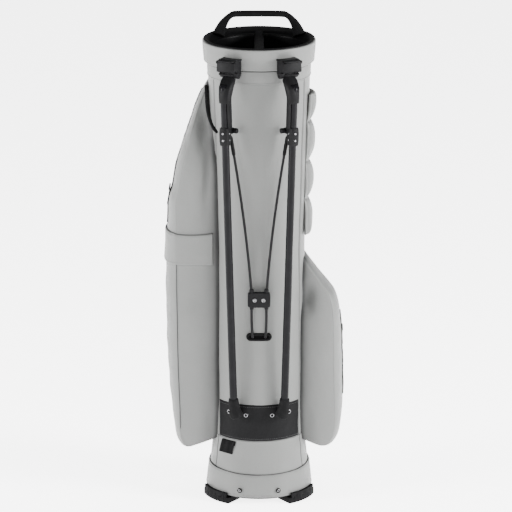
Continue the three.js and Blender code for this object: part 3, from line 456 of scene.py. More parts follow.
class Recipe:
    """A material's node tree, with short ways to add and join nodes."""

    def __init__(self, name, roughness, metallic=0.0, shine=0.5):
        self.material = bpy.data.materials.new(name)
        self.material.use_nodes = True
        self.nodes = self.material.node_tree.nodes
        self.shader = self.nodes["Principled BSDF"]
        self.shader.inputs["Roughness"].default_value = roughness
        self.shader.inputs["Metallic"].default_value = metallic
        self.shader.inputs["Specular IOR Level"].default_value = shine
        coordinates = self.nodes.new("ShaderNodeTexCoord")
        self.place, self.uv = coordinates.outputs["Object"], coordinates.outputs["UV"]

    def join(self, source, socket):
        """Links a node's output to an input."""
        self.material.node_tree.links.new(source, socket)

    def noise(self, scale, detail, stretch=None):
        """Cloudy values between 0 and 1, scale of them to a metre."""
        node = self.nodes.new("ShaderNodeTexNoise")
        node.inputs["Scale"].default_value = scale
        node.inputs["Detail"].default_value = detail
        self.join(self.stretched_place(stretch), node.inputs["Vector"])
        return node.outputs["Fac"]

    def cells(self, scale, stretch=None):
        """The distance to the nearest of scattered points, scale of them to a metre."""
        node = self.nodes.new("ShaderNodeTexVoronoi")
        node.inputs["Scale"].default_value = scale
        self.join(self.stretched_place(stretch), node.inputs["Vector"])
        return node.outputs["Distance"]

    def stretched_place(self, stretch):
        """The place on the object, with each coordinate multiplied if a stretch is given."""
        if stretch is None:
            return self.place
        node = self.nodes.new("ShaderNodeMapping")
        node.inputs["Scale"].default_value = stretch
        self.join(self.place, node.inputs["Vector"])
        return node.outputs["Vector"]

    def maths(self, operation, a, b=0.0):
        """The result of an operation on one or two sockets or numbers."""
        node = self.nodes.new("ShaderNodeMath")
        node.operation = operation
        for socket, value in zip(node.inputs, (a, b)):
            if isinstance(value, (int, float)):
                socket.default_value = value
            else:
                self.join(value, socket)
        return node.outputs[0]

    def spread(self, source, low, high, to_low=0, to_high=1):
        """The range low to high of a source laid over the range to_low to to_high."""
        node = self.nodes.new("ShaderNodeMapRange")
        for name, value in zip(("From Min", "From Max", "To Min", "To Max"), (low, high, to_low, to_high)):
            node.inputs[name].default_value = value
        self.join(source, node.inputs["Value"])
        return node.outputs["Result"]

    def blend(self, factor, a, b):
        """A colour between a, where the factor is 0, and b, where it is 1."""
        node = self.nodes.new("ShaderNodeMix")
        node.data_type = "RGBA"
        self.join(factor, node.inputs["Factor"])
        for socket, value in zip(node.inputs[6:8], (a, b)):
            if isinstance(value, bpy.types.NodeSocket):
                self.join(value, socket)
            else:
                socket.default_value = (*value[:3], 1)
        return node.outputs[2]

    def attribute(self, name):
        """A value kept on the mesh's points."""
        node = self.nodes.new("ShaderNodeAttribute")
        node.attribute_name = name
        return node.outputs["Fac"]

    def bump(self, height, distance, strength, under=None):
        """A normal tilted by a height, over another bump where one is given."""
        node = self.nodes.new("ShaderNodeBump")
        node.inputs["Distance"].default_value = distance
        node.inputs["Strength"].default_value = strength
        self.join(height, node.inputs["Height"])
        if under is not None:
            self.join(under, node.inputs["Normal"])
        return node.outputs["Normal"]

    def done(self, color, roughness=None, normal=None):
        """The finished material."""
        for value, name in ((color, "Base Color"), (roughness, "Roughness"), (normal, "Normal")):
            if value is not None:
                self.join(value, self.shader.inputs[name])
        return self.material


def shade(color, factor):
    """A colour made lighter or darker by a factor."""
    return tuple(min(1.0, channel * factor) for channel in color[:3])


def make_leather(name, color, grain, roughness, shine=0.25):
    """Coated synthetic leather: pebbled cells of one grain size, soft patches of tone, and painted shade,
    near black, where the piece's crease shade strength is high: in seams, creases and the gaps between parts."""
    recipe = Recipe(name, roughness, shine=shine)
    patches = recipe.spread(recipe.noise(9, 5), 0.3, 0.7)
    tone = recipe.blend(patches, shade(color, 0.965), shade(color, 1.03))
    pebbles = recipe.cells(1 / grain)
    pits = recipe.spread(pebbles, 0.35, 0.75, 0, 0.22)
    tone = recipe.blend(pits, tone, shade(color, 0.7))
    # Painted shade: the crease shade attribute blends the leather towards near black in seams, creases and
    # gaps between parts.
    crease = recipe.attribute("crease")
    tone = recipe.blend(crease, tone, shade(color, 0.05))
    dull = recipe.spread(recipe.noise(160, 3), 0.3, 0.7, roughness - 0.05, roughness + 0.07)
    soft = recipe.bump(recipe.noise(55, 4), 0.0009, 0.5)
    normal = recipe.bump(pebbles, 0.00022, 0.5, soft)
    return recipe.done(tone, dull, normal)


def make_moulded(name, color, roughness=0.46):
    """Moulded nylon: a fine spark-eroded texture with faint, paler flow patches."""
    recipe = Recipe(name, roughness, shine=0.04)
    fine = recipe.noise(1 / MOULD_TEXTURE, 3)
    patches = recipe.spread(recipe.noise(35, 4), 0.35, 0.7)
    tone = recipe.blend(patches, shade(color, 0.85), shade(color, 1.25))
    dull = recipe.spread(recipe.noise(240, 3), 0.3, 0.7, roughness - 0.07, roughness + 0.08)
    return recipe.done(tone, dull, recipe.bump(fine, 0.00012, 0.55))


def make_rubber(name, color):
    """Dull black rubber with a fine sandy face and a little dust."""
    recipe = Recipe(name, 0.78, shine=0.04)
    dust = recipe.spread(recipe.noise(70, 6), 0.52, 0.75, 0, 0.5)
    tone = recipe.blend(dust, color, shade(color, 2.4))
    rough = recipe.spread(recipe.noise(400, 3), 0.3, 0.7, 0.68, 0.88)
    return recipe.done(tone, rough, recipe.bump(recipe.noise(1600, 2), 0.0002, 0.6))


def make_enamel(name, color):
    """Gloss black enamel on drawn tube: faint lengthwise draw lines, orange peel and fine dust in the
    gloss."""
    recipe = Recipe(name, 0.08, shine=0.035)
    recipe.shader.inputs["Coat Weight"].default_value = 0.03
    recipe.shader.inputs["Coat Roughness"].default_value = 0.06
    lines = recipe.noise(900, 2, stretch=(1, 1, 0.01))
    peel = recipe.noise(500, 2)
    tone = recipe.blend(recipe.spread(recipe.noise(45, 5), 0.45, 0.75, 0, 0.6), color, shade(color, 1.9))
    rough = recipe.spread(recipe.noise(120, 5), 0.35, 0.75, 0.06, 0.11)
    return recipe.done(tone, rough, recipe.bump(lines, 0.00001, 0.3, recipe.bump(peel, 0.00001, 0.3)))


def make_glass_fibre(name, color):
    """Pultruded rod: a satin black skin with long fibre streaks."""
    recipe = Recipe(name, 0.34, shine=0.05)
    streaks = recipe.noise(1300, 3, stretch=(1, 1, 0.02))
    tone = recipe.blend(recipe.spread(streaks, 0.35, 0.7), shade(color, 0.7), shade(color, 1.7))
    rough = recipe.spread(recipe.noise(200, 3), 0.3, 0.7, 0.28, 0.42)
    return recipe.done(tone, rough, recipe.bump(streaks, 0.00006, 0.6))


def make_nickel(name, color):
    """Bright nickel plate with hairline polish marks and faint tarnish."""
    recipe = Recipe(name, 0.22, 1.0)
    tarnish = recipe.spread(recipe.noise(260, 5), 0.4, 0.75, 0, 0.7)
    tone = recipe.blend(tarnish, color, shade(color, 0.72))
    rough = recipe.spread(recipe.noise(700, 4), 0.3, 0.75, 0.16, 0.36)
    return recipe.done(tone, rough, recipe.bump(recipe.noise(2600, 2, stretch=(1, 1, 0.1)), 0.00002, 0.5))


def make_webbing(name, color, pitch):
    """Woven webbing read from the piece's UV in metres: ribs across the width and warp threads along it,
    each a sine of the distance over the pitch, with the rows staggered by half a thread."""
    recipe = Recipe(name, 0.82, shine=0.03)
    parts = recipe.nodes.new("ShaderNodeSeparateXYZ")
    recipe.join(recipe.uv, parts.inputs[0])
    turn = 2 * math.pi / pitch
    rows = recipe.maths("SINE", recipe.maths("MULTIPLY", parts.outputs[1], turn))
    warp = recipe.maths("MULTIPLY", parts.outputs[0], turn)
    threads = recipe.maths("SINE", recipe.maths("ADD", warp, recipe.maths("MULTIPLY", rows, 1.3)))
    weave = recipe.maths("MULTIPLY", recipe.maths("ADD", rows, 1.4), recipe.maths("ADD", threads, 1.6))
    high = recipe.spread(weave, 0.2, 5.5)
    fuzz = recipe.noise(900, 4)
    # The weave's crests are painted lighter and its hollows darker, following its bump height: painted
    # highlight and painted shade.
    tone = recipe.blend(high, shade(color, 0.35), shade(color, 1.7))
    tone = recipe.blend(recipe.spread(fuzz, 0.55, 0.75, 0, 0.35), tone, shade(color, 2.6))
    normal = recipe.bump(high, 0.0004, 0.8, recipe.bump(fuzz, 0.0001, 0.5))
    return recipe.done(tone, recipe.spread(fuzz, 0.3, 0.7, 0.74, 0.92), normal)


def make_lining(name, color):
    """Thin matt lining cloth with a plain weave too fine to see from afar, and slack patches."""
    recipe = Recipe(name, 0.92, shine=0.05)
    weave = recipe.cells(1500, stretch=(1, 1, 1.7))
    slack = recipe.noise(30, 4)
    tone = recipe.blend(recipe.spread(weave, 0.1, 0.7), shade(color, 1.5), shade(color, 0.6))
    normal = recipe.bump(weave, 0.0002, 0.6, recipe.bump(slack, 0.003, 0.5))
    return recipe.done(tone, recipe.spread(slack, 0.3, 0.7, 0.85, 0.97), normal)


def make_thread(name, color):
    """Waxed sewing thread: a fine twist of light and dark."""
    recipe = Recipe(name, 0.6)
    twist = recipe.noise(2500, 2)
    tone = recipe.blend(recipe.spread(twist, 0.35, 0.65), shade(color, 0.75), shade(color, 1.15))
    return recipe.done(tone, recipe.spread(twist, 0.3, 0.7, 0.5, 0.7), recipe.bump(twist, 0.0001, 0.5))


FINISHES = {}


def new_finish(name):
    """A new material for a finish, in the scene's chosen colours."""
    look = bpy.context.scene.bag_look
    kinds = {
        "leather": (make_leather, "Grey leather", look.leather, look.grain, 0.5),
        "edging": (make_leather, "Piping leather", shade(look.leather, 0.15), look.grain, 0.46),
        "black_leather": (make_leather, "Black leather", look.black_leather, look.grain, 0.52, 0.03),
        "plastic": (make_moulded, "Charcoal moulding", look.plastic),
        "dark_plastic": (make_moulded, "Black moulding", shade(look.plastic, 0.5), 0.4),
        "rubber": (make_rubber, "Black rubber", look.rubber),
        "enamel": (make_enamel, "Gloss enamel", look.enamel),
        "fibre": (make_glass_fibre, "Glass fibre", look.plastic),
        "nickel": (make_nickel, "Nickel plate", look.nickel),
        "webbing": (make_webbing, "Black webbing", look.webbing, look.weave),
        "lining": (make_lining, "Black lining", look.lining),
        "thread": (make_thread, "Grey thread", shade(look.leather, 0.8)),
        "black_thread": (make_thread, "Black thread", shade(look.webbing, 1.6)),
    }
    maker, *values = kinds[name]
    return maker(*values)


def finish(name):
    """A finish by name, made once."""
    if name not in FINISHES:
        FINISHES[name] = new_finish(name)
    return FINISHES[name]


def finishes(*names):
    """Several finishes by name."""
    return [finish(name) for name in names]


# ---- Copies of moulded parts and cloth simulation --------------------------------------------

WELD_DISTANCE = 2e-5
FLAT_ANGLE = math.radians(1.5)
STUFFING_PRESSURE = 4.0
STUFFING_FRAMES = 20


def hard_part(node, body, slot, finish_name, width, angle=28):
    """A moulded, turned or pressed part in place of its frame node: the node's loose triangles welded,
    flat faces merged, and every edge sharper than an angle rounded to a width."""
    mesh = bpy.data.meshes.new(node + "_part")
    shape = bmesh.new()
    shape.from_mesh(frame["nodes"][node].data)
    bmesh.ops.remove_doubles(shape, verts=shape.verts, dist=WELD_DISTANCE)
    bmesh.ops.dissolve_limit(shape, angle_limit=FLAT_ANGLE, verts=shape.verts, edges=shape.edges)
    shape.to_mesh(mesh)
    shape.free()
    mesh.materials.clear()
    mesh.shade_smooth()
    piece = bpy.data.objects.new(mesh.name, mesh)
    bpy.context.scene.collection.objects.link(piece)
    bevel = piece.modifiers.new("Rounded edges", "BEVEL")
    bevel.width = width
    bevel.segments = 3
    bevel.limit_method = "ANGLE"
    bevel.angle_limit = math.radians(angle)
    mesh.materials.append(finish(finish_name))
    return dress(piece, body, slot, node)


def inflated(piece, cap, voxel):
    """Stuffs a closed piece: it is remeshed in even cells, blown up as cloth with no weight, no point moving
    further than a cap, and subdivided once."""
    remesh = piece.modifiers.new("Even cells", "REMESH")
    remesh.mode = "VOXEL"
    remesh.voxel_size = voxel
    remesh.use_smooth_shade = True
    apply_modifiers(piece)
    start = mesh_points(piece)
    cloth = piece.modifiers.new("Stuffing", "CLOTH")
    cloth.settings.use_pressure = True
    cloth.settings.uniform_pressure_force = STUFFING_PRESSURE
    cloth.settings.effector_weights.gravity = 0
    cloth.settings.quality = 5
    cloth.collision_settings.use_collision = False
    cloth.point_cache.frame_start = 1
    cloth.point_cache.frame_end = STUFFING_FRAMES
    for step in range(1, STUFFING_FRAMES + 1):
        bpy.context.scene.frame_set(step)
    apply_modifiers(piece)
    bpy.context.scene.frame_set(1)
    blown = mesh_points(piece)
    move = blown - start
    length = np.linalg.norm(move, axis=1, keepdims=True)
    move = move * np.minimum(1, cap / np.maximum(length, 1e-9))
    set_points(piece, start + move)
    level = piece.modifiers.new("Finer", "SUBSURF")
    level.levels = level.render_levels = 1
    apply_modifiers(piece)


def apply_modifiers(piece):
    """Replaces a piece's mesh with what its modifiers make of it."""
    graph = bpy.context.evaluated_depsgraph_get()
    mesh = bpy.data.meshes.new_from_object(piece.evaluated_get(graph), depsgraph=graph)
    piece.modifiers.clear()
    piece.data = mesh
    mesh.shade_smooth()


def mesh_points(piece):
    """The vertices of a piece."""
    return vertex_vectors(piece.data, "co")


def mesh_normals(piece):
    """The vertex normals of a piece."""
    return vertex_vectors(piece.data, "normal")


def set_points(piece, points):
    """Moves a piece's vertices."""
    piece.data.vertices.foreach_set("co", points.astype(np.float32).ravel())
    piece.data.update()


def set_crease_shade(piece, values):
    """Gives a mesh its painted crease shade strength at each point."""
    layer = piece.data.attributes.get("crease") or piece.data.attributes.new("crease", "FLOAT", "POINT")
    layer.data.foreach_set("value", values.astype(np.float32))


def settled(points, normals, wanted, axes):
    """For each wanted point, the surface's point and normal there: the mean of the four nearest grid points,
    each weighted by one over its squared distance. axes says which coordinates count in the distance."""
    points, normals = points.reshape(-1, 3), normals.reshape(-1, 3)
    shape = wanted.shape
    flat = wanted.reshape(-1, 3)[:, axes]
    apart = ((flat[:, None] - points[None][:, :, axes]) ** 2).sum(-1)
    near = np.argsort(apart, axis=1)[:, :4]
    weight = 1 / (np.take_along_axis(apart, near, axis=1) + 1e-8)
    weight = (weight / weight.sum(1, keepdims=True))[..., None]
    place = (points[near] * weight).sum(1)
    facing = unit((normals[near] * weight).sum(1))
    return place.reshape(shape), facing.reshape(shape)


def grid_normals(grid):
    """Unit normals of a grid of points: the cross product of its two directions."""
    across = np.gradient(grid, axis=1)
    along = np.gradient(grid, axis=0)
    return unit(np.cross(across, along))


def groove(distance, width):
    """1 on a line, falling as a bell of the given width with distance from it."""
    return np.exp(-((distance / width) ** 2))


# ---- Tube cover, skirt, panel, cuff ----------------------------------------------------------

SIDE_SEAM = math.radians(62)
GROMMET_Z = middle_of("slot_grommet")[2]
PANEL_LOW, PANEL_HIGH = (corner.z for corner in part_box("leg_rest_panel"))
CUFF_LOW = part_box("cuff_cover")[0].z
CUFF_RADIUS = radius_profile("cuff_cover")[1][0]
NECK_LOW, NECK_HIGH = (corner.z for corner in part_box("neck_band"))
BOOT_HINGE = np.array(joint_named("boot_tilt")["pos_m"])
BOOT_SKIRT_RADIUS = 0.0925
EYELET_NODES = [f"panel_rivet_{place}_{side}" for place in ("inner", "outer") for side in ("left", "right")]
SEAM_SPACING = 0.0006


def seam_azimuths(around):
    """Azimuths all round the bag, with extra ones beside the side seams so that each seam has its own."""
    beside = np.arange(-4, 5) * (SEAM_SPACING / TUBE_RADII[0])
    extra = beside[None] + np.array([SIDE_SEAM, -SIDE_SEAM])[:, None]
    base = np.linspace(-math.pi, math.pi, around, endpoint=False)
    return np.unique(np.round(np.concatenate([base, extra.ravel()]), 7))


def side_seams(azimuth, width):
    """1 on the two side seams, falling away beside them."""
    away = np.minimum(abs(azimuth - SIDE_SEAM), abs(azimuth + SIDE_SEAM))
    return groove(away * TUBE_RADII[0], width)


def make_tube_cover(sewing):
    """The tube's leather outside and cloth inside: its radius, a soft drift and the seams' grooves."""
    azimuth = seam_azimuths(220)
    low, high = TUBE_BOTTOM + 0.002, TUBE_TOP - 0.002
    outer_z = np.concatenate([[TUBE_BOTTOM + 0.0004], np.linspace(low, high, 150)])
    inner_z = np.linspace(high, low, 14)
    seam = side_seams(azimuth, sewing.seam_width)
    place = round_bag(azimuth[None], TUBE_RADII[0], outer_z[:, None])
    soft = drift(place[..., 0], place[..., 1], place[..., 2] * 0.4, 4, 0.11) * sewing.wrinkle
    quiet = np.clip((outer_z - TUBE_BOTTOM) / 0.03, 0, 1)[:, None]
    radius = tube_radius(outer_z)[:, None] + 0.0004 + soft * quiet - seam[None] * 0.0011
    outside = round_bag(azimuth[None], radius, outer_z[:, None])
    inside = round_bag(azimuth[None], tube_radius(inner_z)[:, None] - 0.003, inner_z[:, None])
    surface = Surface()
    # Painted shade in the side seams' grooves, carried as the crease shade strength.
    crease = np.vstack([np.broadcast_to(np.sqrt(seam), soft.shape), np.zeros(inside.shape[:2])])
    slots = np.repeat(np.concatenate([np.zeros(len(outer_z)), np.ones(len(inner_z))]), len(azimuth))
    surface.ring_wall(np.vstack([outside, inside]), crease, (0.53, 1.6), slots.astype(int))
    for side in (-1, 1):
        for away in (-0.0032, 0.0032):
            z = np.linspace(PANEL_HIGH + 0.004, NECK_LOW - 0.004, 200)
            line = round_bag(side * SIDE_SEAM + away / TUBE_RADII[0], tube_radius(z) + 0.0004, z)
            stitch_round(surface, line, sewing, 2)
    piece = surface.piece("tube_cover", finishes("leather", "lining", "thread"))
    dress(piece, "bag", "leather_grey", "body_tube")


def make_skirt(sewing):
    """The cover below the panel, flared over the boot's collar: a thin wall whose radius grows with the
    square of the way down, with side seams and a hem."""
    azimuth = seam_azimuths(200)
    top, bottom = PANEL_LOW - 0.001, BOOT_HINGE[2] + 0.0125
    share = np.linspace(0, 1, 34)
    z = top + (bottom - top) * share
    radius = TUBE_RADII[0] + 0.0016 + (BOOT_SKIRT_RADIUS - TUBE_RADII[0] - 0.0016) * share**1.25
    seam = side_seams(azimuth, sewing.seam_width)
    place = round_bag(azimuth[None], radius[:, None], z[:, None])
    loose = np.sin(math.pi * share)[:, None] ** 0.5
    soft = drift(*np.moveaxis(place, -1, 0), 9, 0.07) * sewing.wrinkle * loose
    # The hem rises a little from its front to its rear, as the collar's edge does.
    z = z[:, None] + (1 - np.cos(azimuth)) * 0.5 * share[:, None] ** 2 * 0.002
    outer = round_bag(azimuth[None], radius[:, None] + soft - seam[None] * 0.001, z)
    inner = round_bag(azimuth[None], radius[:, None] - 0.0018, z)[::-1]
    surface = Surface()
    # Painted shade: the seams' grooves are darkened, and the skirt's inside is painted near black.
    seam_and_inside_shade = np.vstack([np.broadcast_to(np.sqrt(seam), soft.shape), np.ones(inner.shape[:2])])
    surface.ring_wall(np.vstack([outer, inner]), seam_and_inside_shade, (0.55, 0.1))
    piece = surface.piece("tube_skirt", finishes("leather"))
    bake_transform(piece)


def make_rest_panel(sewing):
    """The black panel the legs rest on: a thin curved slab with rolled edges, a stitched border and four
    nickel eyelets in place of the frame's rivets."""
    half = SIDE_SEAM - 0.004 / TUBE_RADII[0]
    s, t = rounded_steps(90, 0.006), rounded_steps(30, 0.03)
    azimuth = (2 * s - 1) * half
    z = PANEL_LOW + (PANEL_HIGH - PANEL_LOW) * t
    edge = np.minimum(edge_fall(s, 0.012)[None], edge_fall(t, 0.03)[:, None])
    rub = drift(azimuth[None] * 0.1, 0, z[:, None], 21, 0.05) * 0.0003
    outer = round_bag(azimuth[None], TUBE_RADII[0] + 0.0006 + (0.0012 + rub) * edge, z[:, None])
    inner = round_bag(azimuth[None], TUBE_RADII[0] - 0.0008, z[:, None])
    surface = Surface()
    surface.slab(outer, inner, size=(0.17, 0.07))
    for height in (PANEL_LOW + 0.004, PANEL_HIGH - 0.004):
        turn = np.linspace(-half + 0.04, half - 0.04, 200)
        stitch_round(surface, round_bag(turn, TUBE_RADII[0] + 0.0018, height), sewing, 1)
    ring = eyelet_rings(0.0042)
    for node in EYELET_NODES:
        centre = middle_of(node)
        out = unit(np.array([centre[0] - AXIS_X, centre[1] - AXIS_Y, 0]))
        base = np.array([AXIS_X, AXIS_Y, centre[2]]) + out * (TUBE_RADII[0] + 0.0016)
        surface.ring_solid(placed(ring, base, axes_facing(out)), slot=2)
        surface.ring_solid(placed(dome_rings(0.0019, 0.0003), base + out * 0.0006, axes_facing(out)), slot=3)
    piece = surface.piece("rest_panel", finishes("black_leather", "black_thread", "nickel", "lining"))
    dress(piece, "bag", "leather_black", "leg_rest_panel", *EYELET_NODES)


def band_profile(low, high, low_radius, high_radius, thickness, puff):
    """A closed outline of (radius, height) for a padded band: its face is an arc that stands out by puff
    in the middle and rolls in at both edges."""
    s = np.linspace(0, 1, 26)
    base = low_radius + (high_radius - low_radius) * s
    face = base + puff * np.sin(math.pi * s) ** 0.6 - thickness * 0.55 * (1 - edge_fall(s, 0.06))
    outer = np.stack([face, low + (high - low) * s], axis=-1)
    inner = np.stack([(base - thickness)[::-1], outer[::-1, 1]], axis=-1)
    return np.vstack([outer, inner])


def make_cuff(sewing):
    """The cuff under the rim and the band below it, each padded a little, with stitching near its lower
    edge."""
    cuff = band_profile(CUFF_LOW, RIM_TOP - 0.0026, CUFF_RADIUS, RIM_RADIUS + 0.0002, 0.003, 0.0006)
    neck_radii = tube_radius(NECK_LOW) + 0.0011, tube_radius(NECK_HIGH) + 0.0014
    neck = band_profile(NECK_LOW, NECK_HIGH, *neck_radii, 0.002, 0.0004)
    surface = Surface()
    for profile in (cuff, neck):
        height = profile[:, 1]
        # Painted shade along the upper and lower edges of each band.
        edge = np.minimum(abs(height - height.min()), abs(height - height.max()))
        surface.ring_wall(turned(profile, 220), groove(edge, 0.0009)[:, None] * 0.8, (0.6, 0.09))
    stitched = ((CUFF_LOW + 0.0035, CUFF_RADIUS), (NECK_LOW + 0.003, tube_radius(NECK_LOW) + 0.0014))
    for z, radius in stitched:
        stitch_round(surface, round_bag(np.linspace(-math.pi, math.pi, 800), radius + 0.0004, z), sewing, 1)
    piece = surface.piece("cuff_and_neck", finishes("leather", "thread"))
    dress(piece, "bag", "leather_grey", "cuff_cover", "neck_band")


def make_side_tab(sewing):
    """The folded webbing tab at the panel's left: a strip that hangs out from under the panel, doubled
    over."""
    low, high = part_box("side_tab")
    azimuth = -math.radians(43)
    half = 0.5 * (high.z - low.z)
    across = np.array([math.cos(azimuth), math.sin(azimuth), 0])
    out = np.array([math.sin(azimuth), -math.cos(azimuth), 0])
    centre = np.array([AXIS_X, AXIS_Y, (low.z + high.z) / 2]) + out * (TUBE_RADII[0] + 0.002)
    turn = np.linspace(0, 2 * math.pi, 60, endpoint=False)
    # A flattened loop: long in height, thin in the way out, a little slack at its foot.
    along = np.cos(turn)
    loop = np.stack([0.0019 * np.sin(turn) + 0.0016 * np.clip(-along, 0, 1) ** 2, half * along], axis=-1)
    path = centre + loop[:, :1] * out + loop[:, 1:] * np.array([0, 0, 1])
    slant = 0.0035 * along[:, None] * across
    wide = np.array([-1, -0.96, 0.96, 1, 1, 0.96, -0.96, -1]) * 0.0165
    thick = np.array([0.2, 1, 1, 0.2, -0.2, -1, -1, -0.2]) * 0.0008
    tangent = unit(np.roll(path, -1, 0) - np.roll(path, 1, 0))
    across = np.broadcast_to(across, path.shape)
    grid = carried(path + slant, across, np.cross(tangent, across), np.stack([wide, thick], axis=-1))
    surface = Surface()
    surface.ring_wall(grid, size=(0.03, 0.07))
    piece = surface.piece("webbing_tab", finishes("webbing"))
    dress(piece, "bag", "webbing_black", "side_tab")


# ---- Rim, handle -----------------------------------------------------------------------------

RIM_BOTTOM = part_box("rim_moulding")[0].z
MOUTH_RADIUS = 0.0825
# The divider bar's middle: how far behind the axis, and the height above the rim's top.
DIVIDER_BAR = [
    (-0.089, -0.0135), (-0.07, -0.0155), (0, -0.0165), (0.07, -0.0148), (0.086, -0.0098), (0.1, -0.0005),
    (0.1022, 0.0004),
]
RIB_HEIGHT = 0.0006
RIB_PITCH = 0.0028
HANDLE_LOW, HANDLE_HIGH = (np.array(corner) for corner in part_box("lift_handle"))


def make_rim():
    """The moulded rim, one closed outline turned round the axis: a rounded outer lip, a broad face that
    slopes into the mouth and a rolled inner edge. The divider is a padded bar that dips across the mouth
    and climbs over the rear of the rim."""
    lip = [(-0.0022, -0.0085), (-0.0012, -0.003), (-0.0014, -0.0012), (-0.0026, 0), (-0.0045, 0)]
    outer = [(RIM_RADIUS + r, RIM_TOP + z) for r, z in lip]
    face = [(RIM_RADIUS - 0.009, RIM_TOP - 0.0018), (RIM_RADIUS - 0.0155, RIM_TOP - 0.0064)]
    roll = [(MOUTH_RADIUS + 0.0028, RIM_TOP - 0.0108), (MOUTH_RADIUS + 0.0006, RIM_TOP - 0.0122)]
    inside = [(MOUTH_RADIUS, RIM_TOP - 0.0148), (MOUTH_RADIUS, RIM_TOP - 0.02)]
    inside += [(MOUTH_RADIUS + 0.001, RIM_BOTTOM)]
    seat, plug = CUFF_RADIUS - 0.0052, MOUTH_RADIUS + 0.0078
    under = [(plug, RIM_BOTTOM), (plug, TUBE_TOP + 0.0004), (seat, TUBE_TOP + 0.0004)]
    outline = smooth_path([*outer, *face, *roll, *inside], 60)
    surface = Surface()
    surface.ring_wall(turned(np.vstack([outline, under]), 220), size=(0.6, 0.12))
    bar = smooth_path(DIVIDER_BAR, 70)
    path = np.stack([np.full(70, AXIS_X), AXIS_Y + bar[:, 0], RIM_TOP + bar[:, 1] - 0.0052], axis=-1)
    thick = np.interp(bar[:, 0], [0.07, 0.102], [0.0068, 0.0056])[:, None, None] * np.array([0, 1])
    section = squared_circle(40, 3.4) * (np.array([0.0094, 0]) + thick)
    along = unit(np.gradient(path, axis=0))
    across = np.broadcast_to([1.0, 0, 0], path.shape)
    surface.ring_solid(carried(path, across, np.cross(across, along), section), size=(0.05, 0.2), slot=1)
    piece = surface.piece("rim_and_divider", finishes("dark_plastic", "black_leather"))
    dress(piece, "bag", "plastic_black", "rim_moulding")


def handle_path(count):
    """The handle's middle line: up from the rim at one side, over the mouth's rear and down at the other."""
    x = (HANDLE_HIGH[0] - HANDLE_LOW[0]) / 2 - 0.007
    y = AXIS_Y + 0.054
    top = HANDLE_HIGH[2] - 0.0042
    foot = [(x + 0.004, y - 0.005, RIM_TOP - 0.007), (x, y, RIM_TOP + 0.004)]
    bend = [(x - 0.007, y + 0.006, RIM_TOP + 0.0165), (x - 0.0185, y + 0.011, top - 0.0028)]
    right = np.array([*foot, *bend, (x - 0.034, y + 0.014, top)])
    left = right[::-1] * np.array([-1, 1, 1])
    return smooth_path(np.vstack([right, left]), count) + np.array([AXIS_X, 0, 0])


def make_handle():
    """The lift handle: a woven strap, thick at its feet and slimmer over the top, sewn into a rounded
    section."""
    path = handle_path(160)
    s = abs(np.linspace(-1, 1, 160))
    thick = smooth_values(np.interp(s, [0, 0.5, 0.62, 0.78, 1], [0.0038, 0.0042, 0.0052, 0.0082, 0.0118]), 20)
    wide = np.interp(s, [0, 0.55, 0.8, 1], [0.0125, 0.0125, 0.0138, 0.0148])
    along = unit(np.gradient(path, axis=0))
    over = unit(np.cross(along, np.broadcast_to([0.0, 1, 0], path.shape)))
    across = np.cross(over, along)
    section = squared_circle(48, 3.0)[None] * np.stack([wide, thick], axis=-1)[:, None]
    surface = Surface()
    surface.ring_solid(carried(path, across, over, section), size=(0.07, length_of(path)))
    tab = AXIS_X + (HANDLE_HIGH[0] - HANDLE_LOW[0]) / 2 - 0.004
    tail = [(tab - 0.012, 0.05, 0.0125), (tab - 0.002, 0.05, 0.0085), (tab + 0.0085, 0.049, 0.0005)]
    tail = smooth_path(tail, 16) + np.array([0, AXIS_Y, RIM_TOP])
    slim = squared_circle(16, 5.0) * np.array([0.006, 0.0009])
    along = unit(np.gradient(tail, axis=0))
    across = np.broadcast_to([0.0, 1, 0], tail.shape)
    surface.ring_solid(carried(tail, across, np.cross(along, across), slim), size=(0.013, 0.02))
    piece = surface.piece("lift_handle_strap", finishes("webbing"))
    dress(piece, "bag", "webbing_black", "lift_handle")


def make_grip():
    """The ribbed grip on the handle: half thickness = its middle size + a row of ribs on the underside."""
    low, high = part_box("handle_grip")
    span = high.x - low.x
    s = np.linspace(0, 1, 260)
    x = low.x + span * s
    line = handle_path(400)[::-1]
    path = np.stack([x, np.interp(x, line[:, 0], line[:, 1]), np.interp(x, line[:, 0], line[:, 2])], axis=-1)
    circle = squared_circle(56, 2.8)
    end = edge_fall(s, 0.035)[:, None]
    wave = 0.5 + 0.5 * np.cos(2 * math.pi * s * span / RIB_PITCH)
    ribs = RIB_HEIGHT * wave[:, None] * np.clip(-circle[:, 1], 0, 1) ** 0.3
    wide = (0.0146 * (0.82 + 0.18 * end)) * circle[:, 0]
    thick = 0.0046 * (0.72 + 0.28 * end) * circle[:, 1] - ribs * end
    across, over = (np.broadcast_to(axis, path.shape) for axis in ([0.0, 1, 0], [0.0, 0, 1]))
    surface = Surface()
    surface.ring_solid(carried(path, across, over, np.stack([wide, thick], axis=-1)), size=(0.06, span))
    piece = surface.piece("handle_grip_cover", finishes("rubber"))
    dress(piece, "bag", "rubber_black", "handle_grip")


# ---- Legs ------------------------------------------------------------------------------------

SIDES = (("left", -1), ("right", 1))
LEG_RADIUS = 0.007
LEG_TOP = np.array([0.0024, 0.133, 0.812])
LEG_BOTTOM = np.array([-0.0015, 0.103, 0.185])
LEG_LENGTH = np.linalg.norm(LEG_BOTTOM - LEG_TOP)
FOOT_RADIUS = 0.0124
# The foot's radius over its largest, against the share of its height from the sole.
FOOT_PROFILE = [0, 0.04, 0.1, 0.22, 0.5, 0.78, 0.97, 1], [0.72, 0.95, 1, 0.97, 0.82, 0.76, 0.74, 0.66]
CLAMP_MIDDLE = 0.0975
CLAMP_HALF = 0.0092
